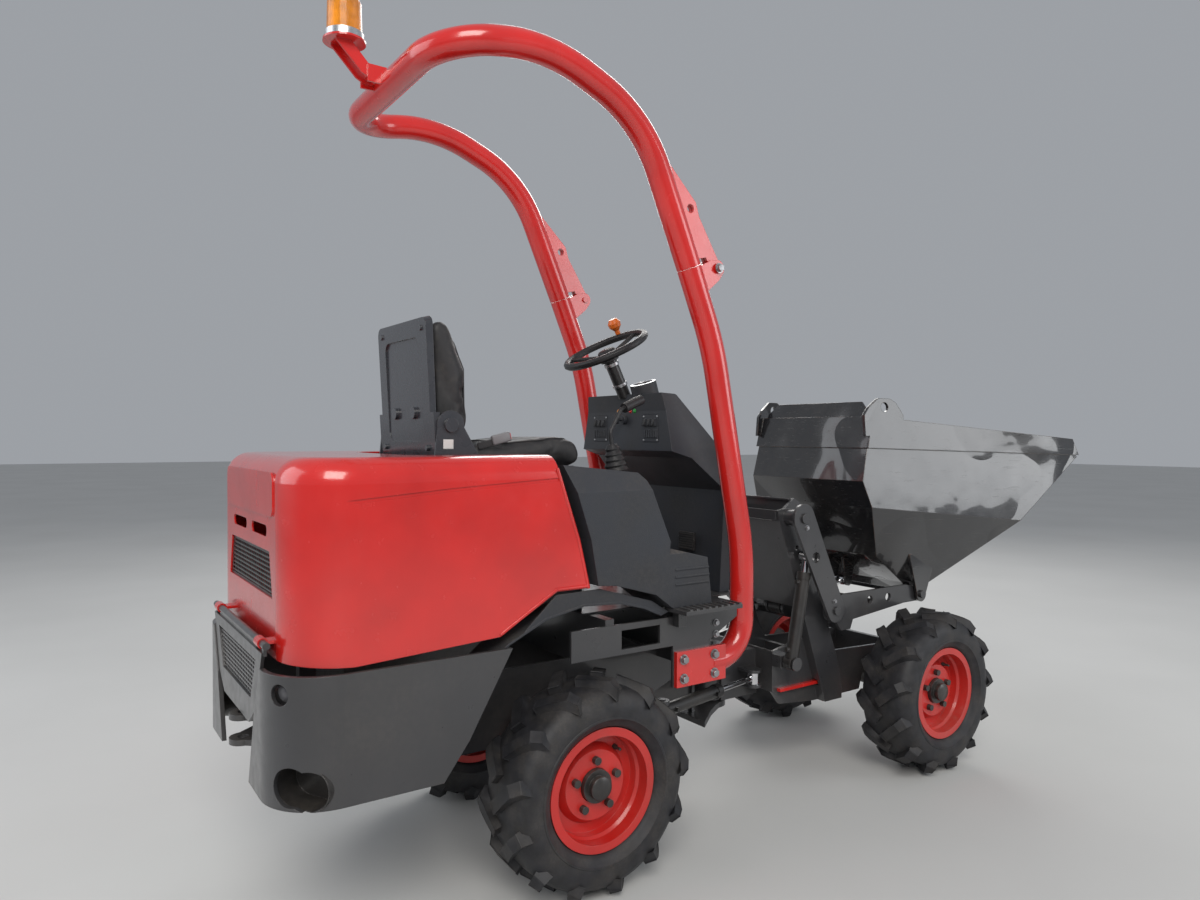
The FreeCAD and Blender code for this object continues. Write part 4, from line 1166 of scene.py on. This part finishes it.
@dataclass
class DriverStation:
    """Small pieces at the driver's place.

    Places are in millimetres from the rear axle, sizes in metres, angles in degrees.
    """

    gauge_centre: Triple = (440.0, -80.0, 1385.0)
    gauge_axis: Triple = (-0.3, 0.0, 0.95)
    gauge_lift: float = 0.0582
    gauge_radius: float = 0.0374
    gauge_ticks: int = 13
    gauge_sweep: float = 260.0
    needle_angle: float = 70.0
    wheel_centre: Triple = (324.0, 0.0, 1558.0)
    wheel_tilt: float = 27.4
    cap: Section = ((0.030, -0.010), (0.031, -0.006), (0.027, -0.002), (0.014, 0.0015),
                    (0.0, 0.0025))
    collars: tuple[float, ...] = (0.048, 0.125)
    panel_face: float = 403.0
    screw_columns: tuple[float, ...] = (109.0, 181.0)
    screw_rows: tuple[float, ...] = (1254.0, 1332.0)
    screw: Section = ((0.0, 0.0), (0.0038, 0.0), (0.0032, 0.0016), (0.0, 0.0022))
    rocker_place: Triple = (393.4, 120.0, 1312.0)
    rocker_pitch: float = 24.0
    rocker_tilt: float = 9.0
    rocker_size: Triple = (0.004, 0.0125, 0.021)
    lamp_place: tuple[float, float] = (404.0, 1352.0)
    lamp: Section = ((0.0075, -0.001), (0.0075, 0.0015), (0.0055, 0.0020), (0.0050, 0.0045),
                     (0.0, 0.0065))
    pedal_place: Triple = (570.6, 130.0, 886.0)
    pedal_ribs: int = 7
    rib_pitch: float = 8.0
    rib_size: Triple = (0.0036, 0.070, 0.0044)
    buckle_place: Triple = (-176.0, -198.0, 1259.0)
    buckle_tilt: float = -14.0
    buckle_size: Triple = (0.058, 0.016, 0.028)
    button_size: Triple = (0.020, 0.0105, 0.018)
    stalk_size: Triple = (0.05, 0.004, 0.018)

    def gauge(self, finishes: Finishes) -> None:
        """Add the dial, its ticks, needle and bright ring.

        Args:
            finishes: The machine's finishes.
        """
        axis = Vector(self.gauge_axis).normalized()
        face = at(*self.gauge_centre) + axis * self.gauge_lift
        r = self.gauge_radius
        dial = Piece("gauge_dial")
        dial.lathe(((0.0, 0.0), (r, 0.0), (r, 0.0006), (0.0, 0.0006)), face, axis, 40)
        dial.finish(finishes.dial, REAR_MODULE)
        marks = Piece("gauge_marks")
        turn = Matrix.Translation(face) @ facing(axis)
        for k in range(self.gauge_ticks):
            angle = math.radians(self.gauge_sweep * (k / (self.gauge_ticks - 1) - 0.5))
            place = Matrix.Rotation(angle, 4, "Z") @ Matrix.Translation((0.0, r * 0.82, 0.0008))
            marks.block(turn @ place, (0.0012, 0.006 if k % 3 == 0 else 0.0035, 0.0006))
        needle = Matrix.Rotation(math.radians(self.needle_angle), 4, "Z")
        needle = needle @ Matrix.Translation((0.0, r * 0.3, 0.0018))
        marks.block(turn @ needle, (0.0014, 0.026, 0.0006))
        marks.lathe(((0.0, 0.0008), (0.004, 0.0008), (0.0036, 0.0030), (0.0, 0.0032)), face,
                    axis, 20)
        marks.finish(finishes.white, REAR_MODULE)
        ring = Piece("gauge_ring")
        ring.lathe(((r - 0.003, 0.0035), (r - 0.0005, 0.0030), (r + 0.006, 0.0042),
                    (r + 0.0065, 0.0058), (r - 0.001, 0.0066), (r - 0.003, 0.0035)), face,
                   axis, 48)
        ring.finish(finishes.silver, REAR_MODULE)

    def switches(self, finishes: Finishes) -> None:
        """Add rocker caps, warning lamps and the panels' screws.

        Args:
            finishes: The machine's finishes.
        """
        rockers = Piece("rocker_caps")
        screws = Piece("panel_screws")
        tilt = Matrix.Rotation(math.radians(self.rocker_tilt), 4, "Y")
        x, first, z = self.rocker_place
        for side in (1.0, -1.0):
            for k in range(3):
                centre = at(x, side * (first + self.rocker_pitch * k), z)
                rockers.block(Matrix.Translation(centre) @ tilt, self.rocker_size, 0.0011)
            for column in self.screw_columns:
                for row in self.screw_rows:
                    screws.lathe(self.screw, at(self.panel_face, side * column, row),
                                 Axis.REAR.value, 16)
        rockers.finish(finishes.grip, REAR_MODULE)
        screws.finish(finishes.zinc, REAR_MODULE)
        for name, colour, y in (("warning_lamp_red", finishes.lamp_red, -34.0),
                                ("warning_lamp_green", finishes.lamp_green, -58.0),
                                ("warning_lamp_amber", finishes.amber, 34.0)):
            lamp = Piece(name)
            place = at(self.lamp_place[0], y, self.lamp_place[1])
            lamp.lathe(self.lamp, place, Axis.REAR.value, 24)
            lamp.finish(colour, REAR_MODULE)

    def wheel_cap(self, finishes: Finishes) -> None:
        """Add the steering wheel's centre cap and the column's collars.

        Args:
            finishes: The machine's finishes.
        """
        tilt = math.radians(self.wheel_tilt)
        axis = Vector((-math.sin(tilt), 0.0, math.cos(tilt)))
        centre = at(*self.wheel_centre)
        cap = Piece("wheel_cap")
        cap.lathe(self.cap, centre, axis, 40)
        cap.finish(finishes.grip, "steering_wheel")
        collar = Piece("column_collar")
        for low in self.collars:
            collar.lathe(((0.0222, -low - 0.012), (0.0255, -low - 0.011), (0.0262, -low - 0.005),
                          (0.0252, -low), (0.0222, -low), (0.0222, -low - 0.012)), centre,
                         axis, 36)
        collar.finish(finishes.zinc, REAR_MODULE)

    def pedal_pads(self, finishes: Finishes) -> None:
        """Add ribbed rubber pads on the pedals.

        Args:
            finishes: The machine's finishes.
        """
        piece = Piece("pedal_pads")
        x, y, z = self.pedal_place
        for side in (1.0, -1.0):
            for k in range(self.pedal_ribs):
                place = Matrix.Translation(at(x, side * y, z + self.rib_pitch * k))
                piece.block(place, self.rib_size)
        piece.finish(finishes.tyre, REAR_MODULE)

    def belt(self, finishes: Finishes) -> None:
        """Add the belt's buckle with its button, on a stalk beside the cushion.

        Args:
            finishes: The machine's finishes.
        """
        place = Matrix.Translation(at(*self.buckle_place))
        place = place @ Matrix.Rotation(math.radians(self.buckle_tilt), 4, "Y")
        buckle = Piece("belt_buckle")
        buckle.block(place, self.buckle_size, 0.0045, 3)
        buckle.finish(finishes.grey_plastic, REAR_MODULE)
        button = Piece("buckle_button")
        button.block(place @ Matrix.Translation((0.0205, 0.0, 0.0)), self.button_size)
        button.finish(finishes.lamp_red, REAR_MODULE)
        stalk = Piece("buckle_stalk")
        stalk.block(place @ Matrix.Translation((-0.050, 0.0, -0.004)), self.stalk_size)
        stalk.finish(finishes.black, REAR_MODULE)

    def build(self, finishes: Finishes) -> None:
        """Build the driver's small pieces.

        Args:
            finishes: The machine's finishes.
        """
        self.gauge(finishes)
        self.switches(finishes)
        self.wheel_cap(finishes)
        self.pedal_pads(finishes)
        self.belt(finishes)


@dataclass
class LinkageTrim:
    """Bolts of the lift arms and the roll frame's fold.

    Places are in millimetres from the rear axle.
    """

    arm_face: float = 276.0
    arm_places: tuple[tuple[float, float], ...] = ((1012.0, 941.0), (1163.0, 661.0))
    arm_bolt: Bolt = Bolt(0.013, 0.006)
    fold_place: Triple = (468.0, 402.0, 1784.0)
    fold_bolt: Bolt = Bolt(0.022, 0.010)

    def build(self, finishes: Finishes) -> None:
        """Build the linkage's small pieces.

        Args:
            finishes: The machine's finishes.
        """
        arms = Piece("arm_fasteners")
        for x, z in self.arm_places:
            for place, out in sides(x, self.arm_face, z):
                arms.hex_head(place, out, self.arm_bolt)
        arms.finish(finishes.zinc, "lift_arms")
        folds = Piece("fold_fasteners")
        for place, out in sides(*self.fold_place):
            folds.hex_head(place, out, self.fold_bolt)
        folds.finish(finishes.zinc, REAR_MODULE)


# Studio


@dataclass(frozen=True)
class SoftLight:
    """A square soft light: place and edge in metres, power in watts, colour."""

    name: str
    place: Triple
    size: float
    power: float
    colour: Colour


@dataclass
class Studio:
    """Pale floor, soft light and the camera of the photograph. Metres and degrees."""

    eye: Triple = (-2.1212, -2.3393, 1.2673)
    yaw: float = 55.58
    pitch: float = -0.96
    roll: float = 0.23
    focal_length: float = 25.28
    sensor: float = 36.0
    sight: float = 200.0
    floor_half: float = 40.0
    floor_colours: tuple[Colour, Colour] = ((0.60, 0.60, 0.59), (0.56, 0.56, 0.55))
    floor_clouds: Grain = Grain(0.8, 5.0, 0.3, 0.7)
    floor_grit: Relief = Relief(90.0, 5.0, 0.0008, 0.3)
    aim: Triple = (0.0, 0.0, 0.9)
    lights: tuple[SoftLight, ...] = (
        SoftLight("key", (-3.6, -5.2, 5.4), 4.0, 360.0, (1.0, 0.97, 0.92)),
        SoftLight("fill", (-6.0, 2.2, 3.2), 4.5, 110.0, (0.93, 0.96, 1.0)),
        SoftLight("rim", (3.8, 4.6, 5.0), 4.0, 200.0, (1.0, 0.98, 0.95)),
        SoftLight("side", (4.0, -4.8, 2.6), 3.0, 90.0, (0.96, 0.98, 1.0)))
    sky: Colour = (0.80, 0.84, 0.90)
    sky_strength: float = 0.42

    def camera(self) -> None:
        """Place the camera."""
        yaw, pitch, roll = (math.radians(v) for v in (self.yaw, self.pitch, self.roll))
        ahead = Vector((math.cos(yaw) * math.cos(pitch), math.sin(yaw) * math.cos(pitch),
                        math.sin(pitch)))
        right = Vector((math.sin(yaw), -math.cos(yaw), 0.0))
        up = right.cross(ahead)
        turned_right = right * math.cos(roll) + up * math.sin(roll)
        turned_up = up * math.cos(roll) - right * math.sin(roll)
        lens = bpy.data.cameras.new("camera")
        lens.sensor_width = self.sensor
        lens.lens = self.focal_length
        lens.clip_end = self.sight
        camera = bpy.data.objects.new("camera", lens)
        turn = Matrix((turned_right, turned_up, -ahead)).transposed().to_4x4()
        camera.matrix_world = Matrix.Translation(self.eye) @ turn
        bpy.context.collection.objects.link(camera)
        bpy.context.scene.camera = camera

    def floor(self) -> None:
        """Lay the pale floor."""
        bm = bmesh.new()
        bmesh.ops.create_grid(bm, x_segments=1, y_segments=1, size=self.floor_half)
        mesh = bpy.data.meshes.new("floor")
        bm.to_mesh(mesh)
        bm.free()
        s = NodeSheet("pale_floor")
        s.feed("Base Color", s.mix(s.grain(self.floor_clouds), *self.floor_colours))
        s.feed("Normal", s.relief(self.floor_grit))
        s.set(Roughness=0.75)
        mesh.materials.append(s.material)
        floor = bpy.data.objects.new("floor", mesh)
        bpy.context.collection.objects.link(floor)

    def hang(self, light: SoftLight) -> None:
        """Hang one soft light that looks at the machine.

        Args:
            light: The light's place, size, power and colour.
        """
        lamp = bpy.data.lights.new(light.name, "AREA")
        lamp.energy = light.power
        lamp.size = light.size
        lamp.color = light.colour
        holder = bpy.data.objects.new(light.name, lamp)
        holder.location = light.place
        sight = Vector(self.aim) - Vector(light.place)
        holder.rotation_euler = sight.to_track_quat("-Z", "Y").to_euler()
        bpy.context.collection.objects.link(holder)

    def build(self) -> None:
        """Set up the floor, the camera, the lights and the sky."""
        self.floor()
        self.camera()
        for light in self.lights:
            self.hang(light)
        world = bpy.data.worlds.new("studio")
        world.use_nodes = True
        background = world.node_tree.nodes["Background"]
        background.inputs["Color"].default_value = (*self.sky, 1.0)
        background.inputs["Strength"].default_value = self.sky_strength
        bpy.context.scene.world = world
        bpy.context.scene.view_settings.view_transform = "Standard"


def main() -> None:
    """Build the dressed model and the studio."""
    logging.basicConfig(level=logging.INFO, format="%(name)s %(message)s")
    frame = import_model()
    Studio().build()
    finishes = Finishes()
    finishes.dress(frame)
    tyre = LugTyre()
    trim = WheelTrim()
    for wheel in WHEELS:
        tyre.build(wheel, finishes)
        trim.build(wheel, finishes)
    Seat().build(finishes)
    ChassisTrim().build(finishes)
    DriverStation().build(finishes)
    LinkageTrim().build(finishes)


if __name__ == "__main__":
    main()
